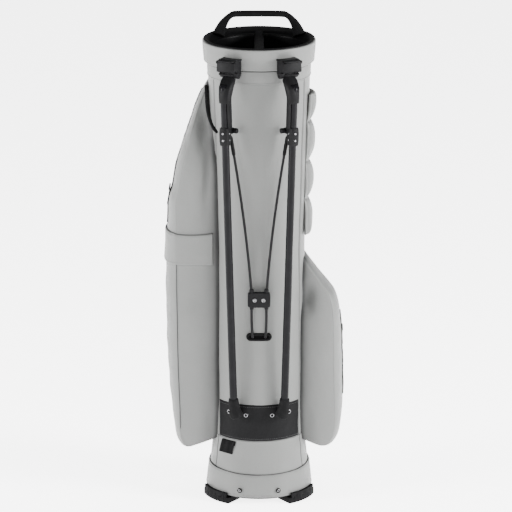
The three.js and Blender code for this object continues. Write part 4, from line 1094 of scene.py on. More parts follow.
# Each pair of rivets: the way it faces (across, out), half its spacing, and its radius, height and shoulder.
CLAMP_RIVETS = ((0, 1, 0.0065, (0.0023, 0.0012, 0.0004)), (-1, 0, 0.006, (0.0017, 0.0008, 0.0003)))


def along_leg(distance, across=0.0, out=0.0):
    """A point at a distance down a leg from its top, moved across and out, in the leg's own plane."""
    down = (LEG_BOTTOM - LEG_TOP) / LEG_LENGTH
    return LEG_TOP + down * distance + np.array([across, out, 0])


def make_leg(name, side):
    """One leg: a drawn tube, its hinge cap, clamp, rivets, pin and rubber foot, all on the leg's body."""
    body = "leg_" + name
    ends = np.stack([LEG_TOP, LEG_BOTTOM])
    path = np.linspace(*beside_leg(side, ends[:, 0], ends[:, 1], ends[:, 2]), 60)
    surface = Surface()
    surface.ring_solid(round_bar(path, LEG_RADIUS, 40), size=(2 * math.pi * LEG_RADIUS, LEG_LENGTH))
    tube = surface.piece("leg_tube_" + name + "_enamelled", finishes("enamel"))
    dress(tube, body, "enamel_black", "leg_tube_" + name)
    hard_part("leg_cap_" + name, body, "plastic_black", "plastic", 0.0011, 24)
    hard_part("leg_clamp_" + name, body, "plastic_black", "plastic", 0.0009, 24)
    hard_part("rod_pin_" + name, body, "plastic_black", "plastic", 0.0012)
    make_clamp_rivets(name, side, body)
    make_rubber_foot(name, side, body)


def make_clamp_rivets(name, side, body):
    """Two bright domed rivets on the clamp's face and two smaller ones on its inner side."""
    surface = Surface()
    stand = CLAMP_HALF - 0.0003
    for across, out, apart, sizes in CLAMP_RIVETS:
        facing = beside_leg(side, across, out, 0) - np.array([AXIS_X, AXIS_Y, 0])
        for drop in (-apart, apart):
            centre = beside_leg(side, *along_leg(CLAMP_MIDDLE + drop, across * stand, out * stand))
            surface.ring_solid(placed(dome_rings(*sizes), centre, axes_facing(facing)))
    piece = surface.piece("clamp_rivets_" + name, finishes("nickel"))
    dress(piece, body, "nickel")


def make_rubber_foot(name, side, body):
    """The foot: a moulded sleeve whose radius waists in above a flared sole, with two grip rings round
    its top and a sole that leans towards the bag's middle."""
    low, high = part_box("leg_foot_" + name)
    t = np.linspace(0, 1, 60)
    height = high.z - low.z
    radius = np.interp(t, *FOOT_PROFILE)
    rings = 0.03 * (groove(t - 0.86, 0.02) + groove(t - 0.74, 0.02))
    radius = smooth_values(radius + rings, 3) * FOOT_RADIUS
    z = low.z + height * t
    share = (z - LEG_TOP[2]) / (LEG_BOTTOM[2] - LEG_TOP[2])
    axis = LEG_TOP + (LEG_BOTTOM - LEG_TOP) * share[:, None]
    across = axis[:, 0] - 0.005 * (1 - t) ** 2
    out = axis[:, 1] - 0.002 * (1 - t) ** 2
    path = beside_leg(side, across, out, z)
    surface = Surface()
    surface.ring_solid(round_bar(path, radius, 40), size=(0.07, height))
    piece = surface.piece("leg_foot_" + name + "_rubber", finishes("rubber"))
    dress(piece, body, "rubber_black", "leg_foot_" + name)


def make_bracket(name, side):
    """The moulded hood a leg hangs from, with a rolled lip along its top and foot, and two small lugs."""
    hard_part("leg_bracket_" + name, "bag", "plastic_black", "plastic", 0.0013, 24)
    hard_part("leg_pivot_pin_" + name, "bag", "nickel", "rubber", 0.0004)
    low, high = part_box("leg_bracket_" + name)
    surface = Surface()
    lips = [(high.z - 0.0019, 0.018, 0.1322, 0.002), (low.z + 0.0095, 0.0178, 0.1318, 0.0014)]
    for z, half, front, thick in lips:
        turn = np.linspace(-1, 1, 60)
        across = half * np.sign(turn) * np.abs(turn) ** 0.6
        out = front - (front - 0.104) * np.clip((np.abs(turn) - 0.5) / 0.5, 0, 1) ** 1.6
        path = even(beside_leg(side, across, out, z), 60)
        surface.ring_solid(round_bar(path, thick, 14, (0, 0, 1)), size=(0.01, 0.06))
    for across, z in ((0.0185, high.z - 0.006), (-0.0188, low.z + 0.011)):
        ends = beside_leg(side, np.array([across * 0.85, across * 1.13]), np.array([0.124, 0.124]), z)
        path, radii = domed_ends(np.linspace(*ends, 8), np.full(8, 0.0034))
        surface.ring_solid(round_bar(path, radii, 20, (0, 0, 1)))
    piece = surface.piece("bracket_trim_" + name, finishes("plastic"))
    dress(piece, "bag", "plastic_black")


# ---- Actuator --------------------------------------------------------------------------------

ROD_RADIUS = 0.0025
ROD_APART = 0.0137  # from the bag's middle to a rod at the bridge
EYE_RADIUS = 0.00475
EYE_STRAIGHT = 0.004


def rod_line(name, count):
    """A flexible rod's middle line, bowed as it leaves the bridge: sideways share = 0.45 t + 0.55 t^1.7."""
    points = node_points("flex_rod_" + name)
    top_z = points[:, 2].max() - 0.01
    top = points[points[:, 2] > top_z - 0.01].mean(0)
    bottom = points[points[:, 2] < points[:, 2].min() + 0.001].mean(0)
    t = np.linspace(0, 1, count)[:, None]
    sideways = 0.45 * t + 0.55 * t**1.7
    line = bottom + (top - bottom) * np.where(np.arange(3) == 2, t, sideways)
    line[:, 2] = bottom[2] + (top_z - bottom[2]) * t[:, 0]
    return line


def make_rod(name, side):
    """One flexible rod: a round fibre rod with a moulded eye, a stadium-shaped ring, at the clamp's pin."""
    line = rod_line(name, 90)
    surface = Surface()
    surface.ring_solid(round_bar(line[:-3], ROD_RADIUS, 20), size=(0.016, 0.3))
    top = line[-1]
    turn = np.linspace(0, 2 * math.pi, 64, endpoint=False)
    up = np.array([0.0, 0, 1])
    back = beside_leg(side, 0, 1, 0) - np.array([AXIS_X, AXIS_Y, 0])
    thick_way = np.cross(up, back)
    loop_y = EYE_RADIUS * np.cos(turn)
    loop_z = EYE_RADIUS * np.sin(turn) + np.sign(np.sin(turn)) * EYE_STRAIGHT
    centre = top + loop_y[:, None] * back + loop_z[:, None] * up
    outward = unit(np.cos(turn)[:, None] * back + np.sin(turn)[:, None] * up)
    section = squared_circle(16, 3.5) * np.array([0.00085, 0.002])
    surface.ring_wall(carried(centre, outward, np.broadcast_to(thick_way, centre.shape), section), slot=1)
    sleeve = line[-14:-4]
    surface.ring_solid(round_bar(*domed_ends(sleeve, np.full(10, 0.0035)), around=20), slot=1)
    piece = surface.piece("flex_rod_" + name + "_fibre", finishes("fibre", "dark_plastic"))
    dress(piece, "rod_" + name, "fibreglass_black", "flex_rod_" + name)


def make_strand(name, side):
    """The rod below the bridge, down in front of the tube and curving in through the slot. It is one fixed
    piece, on no body."""
    low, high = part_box("lower_strand_" + name)
    x = AXIS_X + side * ROD_APART
    inner = AXIS_X + side * 0.012
    front = AXIS_Y - 0.098
    points = [(x, front, high.z), (x, front, high.z - 0.02)]
    points += [(x - side * 0.0008, front + 0.0008, GROMMET_Z + 0.016)]
    points += [(inner, front + 0.0038, GROMMET_Z + 0.005), (inner, front + 0.0105, GROMMET_Z + 0.0004)]
    points += [(inner, high.y, GROMMET_Z)]
    surface = Surface()
    surface.ring_solid(round_bar(smooth_path(points, 60), ROD_RADIUS, 20, (1, 0, 0)), size=(0.016, 0.08))
    piece = surface.piece("strand_" + name, finishes("fibre"))
    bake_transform(piece)
    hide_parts("lower_strand_" + name)


def make_bridge():
    """The block that joins the two rods: a squared-off loft with rounded edges, four sockets and two
    rivets."""
    low, high = (np.array(corner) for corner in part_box("bridge_block"))
    centre, half = (low + high) / 2, (high - low) / 2
    t = rounded_steps(16, 0.08)
    outline = squared_circle(72, 9.0)
    shrink = 0.86 + 0.14 * np.sqrt(np.clip(1 - (1 - edge_fall(t, 0.16)) ** 2, 0, 1))
    rings = np.zeros((len(t), len(outline), 3))
    rings[..., 0] = centre[0] + outline[:, 0] * half[0] * shrink[:, None]
    rings[..., 1] = (low[1] + (high[1] - low[1]) * t)[:, None]
    rings[..., 2] = centre[2] + outline[:, 1] * half[2] * shrink[:, None]
    surface = Surface()
    surface.ring_solid(rings)
    above = (ROD_APART, high[2] - 0.003), (ROD_APART + 0.0002, high[2] + 0.005), 0.0042
    below = (ROD_APART, low[2] + 0.003), (ROD_APART, low[2] - 0.0035), 0.0038
    for side in (-1, 1):
        for *ends, radius in (above, below):
            ends = np.array([[AXIS_X + side * apart, centre[1], z] for apart, z in ends])
            path, radii = domed_ends(np.linspace(*ends, 8), np.full(8, radius))
            surface.ring_solid(round_bar(path, radii, 24))
    for name in ("left", "right"):
        rivet = middle_of("bridge_rivet_" + name)
        base = np.array([rivet[0], low[1] - 0.0001, rivet[2]])
        surface.ring_solid(placed(eyelet_rings(0.0038), base, axes_facing((0, -1, 0))), slot=1)
        surface.ring_solid(placed(dome_rings(0.0016, 0.0005), base, axes_facing((0, -1, 0))), slot=1)
    piece = surface.piece("rod_bridge", finishes("plastic", "nickel"))
    dress(piece, "actuator", "plastic_black", "bridge_block", "bridge_rivet_left", "bridge_rivet_right")
    hard_part("actuator_yoke", "actuator", "nickel", "nickel", 0.0006)


def on_tube_front(across, height, stand):
    """A point on the tube's front: across from its middle, above the slot's middle and out from the tube."""
    return round_bag(np.arcsin(across / TUBE_RADII[0]), TUBE_RADII[0] + stand, GROMMET_Z + height)


def make_grommet():
    """The slot's moulded edging: a stadium-shaped bead on the tube round the opening, which a black plug
    fills as painted shade.
    """
    low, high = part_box("slot_grommet")
    half_x, half_z = (high.x - low.x) / 2, (high.z - low.z) / 2
    turn = np.linspace(0, 2 * math.pi, 120, endpoint=False)
    straight = half_x - half_z
    x = np.sign(np.cos(turn)) * straight * np.clip(abs(np.cos(turn)) * 6, 0, 1) + half_z * 0.72 * np.cos(turn)
    z = half_z * 0.72 * np.sin(turn)
    centre = on_tube_front(x, z, 0.0019)
    out = unit(on_tube_front(x, z, 0.01) - centre)
    along = unit(np.roll(centre, -1, 0) - np.roll(centre, 1, 0))
    section = squared_circle(16, 2.4) * np.array([0.0024, 0.0017])
    surface = Surface()
    surface.ring_wall(carried(centre, np.cross(along, out), out, section))
    # A black plug across the opening: painted shade where the slot is a hole.
    shares = np.linspace(0.05, 1, 8)[:, None]
    face = on_tube_front(x[None] * shares, z[None] * shares, 0.0021)
    back = on_tube_front(x[None] * shares[::-1], z[None] * shares[::-1], -0.002)
    surface.ring_solid(np.vstack([face, back]), slot=1)
    piece = surface.piece("slot_edging", finishes("dark_plastic", "lining"))
    dress(piece, "bag", "rubber_black", "slot_grommet")


# ---- Pockets ---------------------------------------------------------------------------------

# Each row is (way out from the axis, height, how far the outer panel is crowned, half depth), in metres.
LEFT_POCKET = [
    (0.084, 0.803, 0.002, 0.02), (0.098, 0.788, 0.003, 0.027), (0.114, 0.755, 0.005, 0.032),
    (0.126, 0.724, 0.007, 0.039), (0.137, 0.69, 0.009, 0.047), (0.152, 0.64, 0.011, 0.054),
    (0.161, 0.599, 0.013, 0.055), (0.1685, 0.573, 0.015, 0.054), (0.1695, 0.54, 0.016, 0.052),
    (0.1715, 0.5, 0.018, 0.051), (0.1735, 0.46, 0.02, 0.052), (0.1745, 0.4, 0.021, 0.052),
    (0.1735, 0.34, 0.021, 0.052), (0.172, 0.285, 0.02, 0.051), (0.1685, 0.225, 0.018, 0.05),
    (0.1645, 0.17, 0.016, 0.049), (0.1605, 0.13, 0.013, 0.047), (0.155, 0.106, 0.011, 0.045),
    (0.1435, 0.0915, 0.01, 0.043), (0.128, 0.096, 0.01, 0.042), (0.112, 0.105, 0.009, 0.04),
    (0.08, 0.121, 0.008, 0.04),
]
RIGHT_POCKET = [
    (0.068, 0.48, 0.003, 0.028), (0.082, 0.4675, 0.004, 0.031), (0.1, 0.443, 0.006, 0.034),
    (0.1185, 0.419, 0.008, 0.038), (0.134, 0.4, 0.01, 0.04), (0.1445, 0.383, 0.012, 0.042),
    (0.1525, 0.348, 0.015, 0.045), (0.156, 0.286, 0.017, 0.047), (0.157, 0.22, 0.017, 0.047),
    (0.1575, 0.165, 0.016, 0.046), (0.1535, 0.124, 0.014, 0.044), (0.1425, 0.1, 0.012, 0.042),
    (0.129, 0.0915, 0.011, 0.041), (0.11, 0.097, 0.01, 0.04), (0.07, 0.12, 0.008, 0.038),
]
REAR_POCKET = [
    (0.078, 0.402, 0.003, 0.028), (0.1, 0.398, 0.005, 0.034), (0.1145, 0.387, 0.008, 0.038),
    (0.1205, 0.362, 0.01, 0.04), (0.1235, 0.31, 0.011, 0.041), (0.1255, 0.24, 0.011, 0.041),
    (0.126, 0.18, 0.011, 0.041), (0.1235, 0.142, 0.01, 0.04), (0.115, 0.12, 0.008, 0.038),
    (0.098, 0.112, 0.006, 0.036), (0.076, 0.116, 0.004, 0.034),
]
POCKET_SHIFT = 0.012
POCKET_ROOT = 0.055
FRONT_COLUMNS, PANEL_COLUMNS = 40, 56
POCKET_FINISHES = ("leather", "edging", "webbing", "dark_plastic", "thread")
# Soft dents in a pocket's front, in metres: how deep, its middle (way out, height), how far it reaches
# (way out, height), and how much further out its middle lies for each metre down.
LEFT_DENTS = (
    (0.0115, 0.101, 0.712, 0.013, 0.036, 0), (0.0042, 0.095, 0.63, 0.008, 0.055, 0.06),
    (-0.0016, 0.125, 0.6, 0.02, 0.06, 0), (0.0022, 0.09, 0.135, 0.011, 0.05, 0),
)
RIGHT_DENTS = ((0.009, 0.09, 0.385, 0.013, 0.026, 0), (0.0025, 0.09, 0.13, 0.012, 0.045, 0))
# The shade where a pocket meets the tube: its strength and how far it reaches.
POCKET_SHADE = ((1.3, 0.006), (0.4, 0.018))
ZIP_SUNK = 0.0002
# The curved zip on the tall pocket's front: way out and height.
CURVED_ZIP = [
    (0.0975, 0.789), (0.0965, 0.77), (0.0955, 0.752), (0.0925, 0.733), (0.086, 0.7165), (0.0765, 0.7075),
]


class PocketShape:
    """A lofted pocket. Each row starts inside the tube, runs out over the front gusset to its seam, over
    the crowned outer panel to the rear seam, and back. The rows follow the pocket's outline from its top
    round its outer edge to its foot, so they fan out at both ends."""

    def __init__(self, outline, out, across, shift, puff, dents, rows=210):
        self.outline = smooth_path(np.array(outline), rows)
        self.out, self.across = np.array([*out, 0.0]), np.array([*across, 0.0])
        edge, height, crown, depth = (column[:, None] for column in self.outline.T)
        low, high = height.min() + 0.03, height.max() - 0.03
        root_z = smooth_values(np.clip(height[:, 0], low, high), 12)[:, None]
        reach = np.hypot(edge - POCKET_ROOT, height - root_z)
        way_out, way_up = (edge - POCKET_ROOT) / reach, (height - root_z) / reach
        seam_out, seam_z = edge - way_out * crown, height - way_up * crown
        u = rounded_steps(FRONT_COLUMNS - 10, 0.06)
        phi = np.sin(np.linspace(-math.pi / 2, math.pi / 2, PANEL_COLUMNS))
        front_out = POCKET_ROOT + (seam_out - POCKET_ROOT) * u
        front_z = root_z + (seam_z - root_z) * u
        bulge = puff * np.clip(np.sin(math.pi * np.clip((u - 0.18) / 0.82, 0, 1)), 0, 1) ** 0.75
        front = -depth - bulge * np.clip(depth / 0.045, 0, 1) + dented(front_out, front_z, dents)
        lift = crown * np.clip(1 - np.abs(phi) ** 2.3, 0, 1) ** 0.62
        panel_out, panel_z = seam_out + way_out * lift, seam_z + way_up * lift
        panel = depth * phi
        outs = np.hstack([front_out, panel_out, front_out[:, ::-1]])
        heights = np.hstack([front_z, panel_z, front_z[:, ::-1]])
        depths = np.hstack([front, panel, -front[:, ::-1]])
        wide, fine = drift(outs, depths, heights, 31, 0.09), drift(outs, depths, heights, 32, 0.035)
        soft = wide * 0.0011 + fine * 0.0003
        middle = np.clip(1 - np.abs(depths) / depth, 0, 1) ** 0.5
        outs = outs + soft * middle * 0.8
        depths = depths * (1 + soft * 9 * (1 - middle))
        self.grid = self.placed(outs, depths + shift, heights)
        self.normals = grid_normals(self.grid)
        self.front_seam = self.grid[:, FRONT_COLUMNS]
        self.rear_seam = self.grid[:, FRONT_COLUMNS + PANEL_COLUMNS - 1]
        if (self.normals[:, FRONT_COLUMNS + PANEL_COLUMNS // 2] @ self.out).sum() < 0:
            self.normals = -self.normals

    def placed(self, out, across, z):
        """Points from the way out, the way across and the height."""
        out, across, z = np.broadcast_arrays(out, across, z)
        ground = out[..., None] * self.out + across[..., None] * self.across
        return ground + np.stack([np.full(z.shape, AXIS_X), np.full(z.shape, AXIS_Y), z], axis=-1)

    def crease(self):
        """Painted shade where the pocket meets the tube, and a fine line of painted shade beside each seam.
        """
        radius = np.hypot(self.grid[..., 0] - AXIS_X, self.grid[..., 1] - AXIS_Y)
        stand = np.clip(radius - tube_radius(self.grid[..., 2]), 0, None)
        value = sum(strength * np.exp(-stand / reach) for strength, reach in POCKET_SHADE)
        for column in (FRONT_COLUMNS, FRONT_COLUMNS + PANEL_COLUMNS - 1):
            beside = slice(column - 1, column + 1)
            value[:, beside] = np.maximum(value[:, beside], 0.55)
        return np.clip(value, 0, 1)

    def row_at(self, z):
        """The row whose outer edge is at a height, on the outline's long run from its top to its lowest
        point."""
        run = self.outline[: np.argmin(self.outline[:, 1])]
        return np.interp(-np.asarray(z), -run[:, 1], np.arange(len(run)))

    def edge_at(self, z):
        """How far out the outline is at a height, on the same run."""
        run = self.outline[: np.argmin(self.outline[:, 1])]
        return np.interp(-z, -run[:, 1], run[:, 0])

    def front_points(self):
        """The front gusset's points and normals, for laying things on it."""
        return self.grid[:, 4:FRONT_COLUMNS], self.normals[:, 4:FRONT_COLUMNS]

    def panel_points(self):
        """The outer panel's points and normals."""
        chosen = slice(FRONT_COLUMNS, FRONT_COLUMNS + PANEL_COLUMNS)
        return self.grid[:, chosen], self.normals[:, chosen]


def dented(out, z, dents):
    """How far a pocket's front is pushed in: the sum of a bell for each dent."""
    total = 0.0 * out * z
    for depth, middle, height, wide, tall, lean in dents:
        away = (out - middle - lean * (height - z)) / wide
        total = total + depth * np.exp(-(away**2) - ((z - height) / tall) ** 2)
    return total


def piping(surface, line, radius, slot):
    """A sewn-in cord along a seam."""
    surface.ring_solid(round_bar(even(line, 260), radius, 12, (0.03, 1, 0.02)), slot=slot)


def pocket_stitches(surface, shape, column, sewing, slot, rows=slice(6, -6)):
    """A stitch line that runs down one column of a pocket."""
    stitch_run(surface, shape.grid[rows, column], shape.normals[rows, column], sewing, slot)


def spaced(line, facing, count):
    """A line and the ways it faces at evenly spaced points, with unit vectors along it and across it."""
    place = even(np.hstack([line, facing]), count)
    line, facing = place[:, :3], unit(place[:, 3:])
    along = unit(np.gradient(line, axis=0))
    return line, facing, along, unit(np.cross(along, facing))


def zip_along(surface, line, facing, half=0.0075):
    """A zip laid on a surface: a thin woven tape in slot 2 with a row of teeth along its middle in slot
    3. The tape reaches half its width to each side of the line."""
    line, facing, _, across = spaced(line, facing, 120)
    section = squared_circle(20, 5.0) * np.array([half, 0.0007])
    surface.ring_solid(carried(line + facing * 0.0006, across, facing, section), size=(2 * half, 0.2), slot=2)
    line, facing, along, across = spaced(line, facing, int(length_of(line) / 0.0015))
    reach = np.array([-0.0022, -0.0018, 0.0018, 0.0022])
    size = np.array([0.0003, 0.00055, 0.00055, 0.0003])
    frames = np.stack([along, facing, across], axis=1)
    surface.copies(stacked(squared_circle(6), size, reach), line + facing * 0.0014, frames, 3)


def panel_zip(surface, shape, wanted, axes):
    """A zip let into a pocket's outer panel along the wanted points."""
    line, facing = settled(*shape.panel_points(), wanted, axes)
    zip_along(surface, line - facing * ZIP_SUNK, facing)


def pocket_piece(surface, name, node, slots=POCKET_FINISHES):
    """The finished pocket in place of its node."""
    piece = surface.piece(name, finishes(*slots))
    dress(piece, "bag", "leather_grey", node)


def make_left_pocket(sewing):
    """The tall pocket: lofted body, piped seams, a vertical zip on its outer edge and a curved one by the
    tube."""
    shape = PocketShape(LEFT_POCKET, (-1, 0), (0, 1), POCKET_SHIFT, 0.004 * sewing.puff, LEFT_DENTS)
    surface = Surface()
    surface.ring_solid(shape.grid, shape.crease(), (0.4, 0.8))
    start = int(shape.row_at(0.505))
    piping(surface, shape.front_seam[start:-30], 0.0009, 1)
    piping(surface, shape.rear_seam[8:-8], 0.0012, 1)
    pocket_stitches(surface, shape, FRONT_COLUMNS - 4, sewing, 4, slice(start, -10))
    pocket_stitches(surface, shape, FRONT_COLUMNS + PANEL_COLUMNS + 3, sewing, 4)
    z = np.linspace(0.772, 0.524, 60)
    across = np.interp(z, [0.6, 0.68, 0.772], [0.002, 0.024, 0.03])
    panel_zip(surface, shape, shape.placed(shape.edge_at(z), across, z), (1, 2))
    curve = smooth_path(CURVED_ZIP, 60)
    wanted = shape.placed(curve[:, 0], -0.04, curve[:, 1])
    line, facing = settled(*shape.front_points(), wanted, (0, 2))
    on_tube = AXIS_Y - np.sqrt(np.clip((tube_radius(line[:, 2]) + 0.0015) ** 2 - curve[:, 0] ** 2, 0, None))
    line[:, 0], line[:, 2] = wanted[:, 0], wanted[:, 2]
    line[:, 1] = smooth_values(np.minimum(line[:, 1] - 0.0006, on_tube), 10)
    zip_along(surface, line, smooth_rows(facing[None], 6)[0], 0.0034)
    pocket_piece(surface, "tall_pocket", "left_pocket")
    make_pocket_band(shape, sewing)


def make_pocket_band(shape, sewing):
    """The band round the tall pocket: the pocket's own surface between two heights, raised by the band's
    thickness, with rolled edges, a slight sag in the middle and a stitched border."""
    low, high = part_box("left_pocket_band")
    t = rounded_steps(24, 0.03)
    z = high.z - (high.z - low.z) * t
    rows = shape.row_at(z)
    chosen = np.arange(12, 2 * FRONT_COLUMNS + PANEL_COLUMNS - 12)
    index = np.clip(rows.astype(int), 0, len(shape.grid) - 2)
    part = (rows - index)[:, None, None]
    base = shape.grid[index][:, chosen] * (1 - part) + shape.grid[index + 1][:, chosen] * part
    facing = unit(shape.normals[index][:, chosen] * (1 - part) + shape.normals[index + 1][:, chosen] * part)
    base = smooth_rows(base, 10)
    facing = unit(smooth_rows(facing, 6))
    s = np.linspace(0, 1, len(chosen))
    base[..., 2] = z[:, None] - 0.0028 * np.sin(math.pi * np.clip(s / 0.3, 0, 1))[None] * (1 - t)[:, None]
    edge = np.minimum(edge_fall(t, 0.04)[:, None], edge_fall(s, 0.012)[None])[..., None]
    outer = base + facing * (0.0012 + 0.0026 * edge)
    inner = base - facing * 0.0008
    surface = Surface()
    # Painted shade along the band's upper and lower edges.
    border = groove(np.minimum(t, 1 - t) * (high.z - low.z), 0.0007)[:, None] * np.ones(len(chosen))
    surface.slab(outer, inner, border * 0.5, (0.25, 0.06))
    for row in (np.argmin(abs(t - 0.065)), np.argmin(abs(t - 0.935))):
        stitch_run(surface, outer[row, 4:-4], facing[row, 4:-4], sewing, 1)
    piece = surface.piece("pocket_band", finishes("leather", "thread"))
    dress(piece, "bag", "leather_grey", "left_pocket_band")


def make_right_pocket(sewing):
    """The short pocket: lofted body, a piped rear seam and a vertical zip on its outer edge."""
    shape = PocketShape(RIGHT_POCKET, (1, 0), (0, 1), POCKET_SHIFT, 0.0045 * sewing.puff, RIGHT_DENTS)
    surface = Surface()
    surface.ring_solid(shape.grid, shape.crease(), (0.4, 0.5))
    piping(surface, shape.rear_seam[8:-8], 0.0012, 1)
    pocket_stitches(surface, shape, FRONT_COLUMNS + PANEL_COLUMNS + 3, sewing, 4)
    panel_zip(surface, shape, shape.placed(0.155, 0.004, np.linspace(0.352, 0.19, 50)), (1, 2))
    pocket_piece(surface, "short_pocket", "right_pocket")


def make_rear_pocket(sewing):
    """The shallow pocket at the rear, below the straps, with a zip across its upper face."""
    shape = PocketShape(REAR_POCKET, (0, 1), (1, 0), 0.0, 0.003 * sewing.puff, (), 160)
    surface = Surface()
    surface.ring_solid(shape.grid, shape.crease(), (0.3, 0.4))
    piping(surface, shape.front_seam[6:-6], 0.0011, 1)
    piping(surface, shape.rear_seam[6:-6], 0.0011, 1)
    panel_zip(surface, shape, shape.placed(0.12, np.linspace(-0.03, 0.03, 40), 0.35), (0, 2))
    pocket_piece(surface, "rear_pocket_cover", "rear_pocket", POCKET_FINISHES[:4])


# ---- Pad and straps --------------------------------------------------------------------------

PAD_TURNS = np.radians([69, 202])
PAD_CHANNELS = (0.574, 0.645, 0.722)
# The straps' middle line: how far behind the axis, and the height.
STRAP_LINE = [
    (0.104, 0.796), (0.128, 0.74), (0.139, 0.65), (0.133, 0.56), (0.115, 0.49), (0.0945, 0.458),
    (0.094, 0.438),
]
STRAP_X = 0.032


def make_back_pad(sewing):
    """The quilted pad: a crowned pad round the tube's side and rear, blown up as cloth, then pinched by its
    sewn channels. Pinch = a bell of the height from each channel, towards the tube."""
    low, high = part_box("back_pad")
    s, t = rounded_steps(60, 0.02), rounded_steps(70, 0.02)
    azimuth = PAD_TURNS[0] + (PAD_TURNS[1] - PAD_TURNS[0]) * s
    z = low.z + 0.002 + (high.z - low.z - 0.004) * t
    edge = np.minimum(edge_fall(s, 0.1)[None], edge_fall(t, 0.07)[:, None])
    radius = tube_radius(z)[:, None]
    outer = round_bag(azimuth[None], radius + 0.0026 + 0.0065 * edge, z[:, None])
    inner = round_bag(azimuth[None], radius - 0.002, z[:, None])
    surface = Surface()
    surface.slab(outer, inner)
    piece = surface.piece("quilted_back_pad", finishes("leather"))
    inflated(piece, sewing.pad_cap, 0.005)
    points = mesh_points(piece)
    place = points - np.array([AXIS_X, AXIS_Y, 0])
    radius, turn = np.hypot(place[:, 0], place[:, 1]), np.arctan2(place[:, 0], -place[:, 1]) % (2 * math.pi)
    above = radius - tube_radius(points[:, 2])
    channel = np.abs(points[:, 2, None] - np.array(PAD_CHANNELS)).min(1)
    pinch = np.clip(1 - channel / 0.036, 0, 1) ** 2.2 * 0.72 + groove(channel, 0.0022) * 0.12
    inset = np.minimum(turn - PAD_TURNS[0], PAD_TURNS[1] - turn) * 0.09
    border = groove(inset - 0.011, 0.003) * 0.5
    keep = 1 - np.clip(np.maximum(pinch, border), 0, 0.88) * np.clip(above / 0.004, 0, 1)
    new_radius = radius + above * (keep - 1) * (above > 0)
    points[:, :2] += place[:, :2] / radius[:, None] * (new_radius - radius)[:, None]
    set_points(piece, points)
    # Painted shade in the sewn channels and along the border seam.
    seam_shade = groove(channel, 0.0018) * 0.75 + groove(inset - 0.011, 0.0012) * 0.5
    set_crease_shade(piece, np.clip(seam_shade, 0, 1) * (above > 0.001))
    dress(piece, "bag", "leather_grey", "back_pad")


def make_strap(name, side, sewing):
    """One shoulder strap: a padded leather pad with a sunk seam near each edge, on a length of webbing."""
    line = smooth_path(STRAP_LINE, 200)
    x = AXIS_X + side * STRAP_X
    path = np.stack([np.full(200, x), AXIS_Y + line[:, 0], line[:, 1]], axis=-1)
    along = unit(np.gradient(path, axis=0))
    across = np.broadcast_to([1.0, 0, 0], path.shape)
    out = unit(np.cross(along, across))
    out = out * np.sign(out[:, 1:2].mean())
    first, last = 16, 120
    t = rounded_steps(60, 0.03)
    rows = (first + (last - first) * t).round().astype(int)
    edge = edge_fall(t, 0.1)[:, None, None]
    size = np.concatenate([0.0258 * (0.8 + 0.2 * edge), 0.0042 * (0.35 + 0.65 * edge)], axis=-1)
    section = squared_circle(44, 3.2)[None] * size
    surface = Surface()
    surface.ring_solid(carried(path[rows], across[rows], out[rows], section))
    piece = surface.piece("strap_pad_" + name + "_cover", finishes("leather", "black_leather"))
    inflated(piece, sewing.strap_cap, 0.0045)
    points = mesh_points(piece)
    beside = np.abs(points[:, 0] - x)
    seam = groove(beside - 0.021, 0.0016)
    normals = mesh_normals(piece)
    set_points(piece, points - normals * (seam * 0.0012)[:, None])
    # Painted shade along the sunk seam near each edge.
    set_crease_shade(piece, seam * 0.5)
    dress(piece, "bag", "leather_grey", "strap_pad_" + name)
    make_strap_web(name, x, path, across, out, last)


def make_strap_web(name, x, path, across, out, last):
    """The webbing that carries on from a strap pad to the lower anchor, with a moulded slider on it."""
    rows = slice(last - 4, 199)
    section = squared_circle(24, 6.0) * np.array([0.0138, 0.0013])
    surface = Surface()
    surface.ring_solid(carried(path[rows], across[rows], out[rows], section), size=(0.028, 0.14))
    at = last + 12
    ring = squared_circle(24, 4.0) * np.array([0.0175, 0.0036])
    around = carried(path[at:at + 7], across[at:at + 7], out[at:at + 7], ring)
    surface.ring_solid(around, slot=1)
    piece = surface.piece("strap_webbing_" + name, finishes("webbing", "dark_plastic"))
    dress(piece, "bag", "webbing_black", "strap_web_" + name)


def make_anchors():
    """The two moulded bars that the straps hang from."""
    hard_part("strap_top_anchor", "bag", "plastic_black", "plastic", 0.002)
    hard_part("strap_lower_anchor", "bag", "plastic_black", "plastic", 0.002)


# ---- Boot, pulls and the nodes that stay -----------------------------------------------------

PULL_LEAN = {"left": 0.17, "right": 0.05}


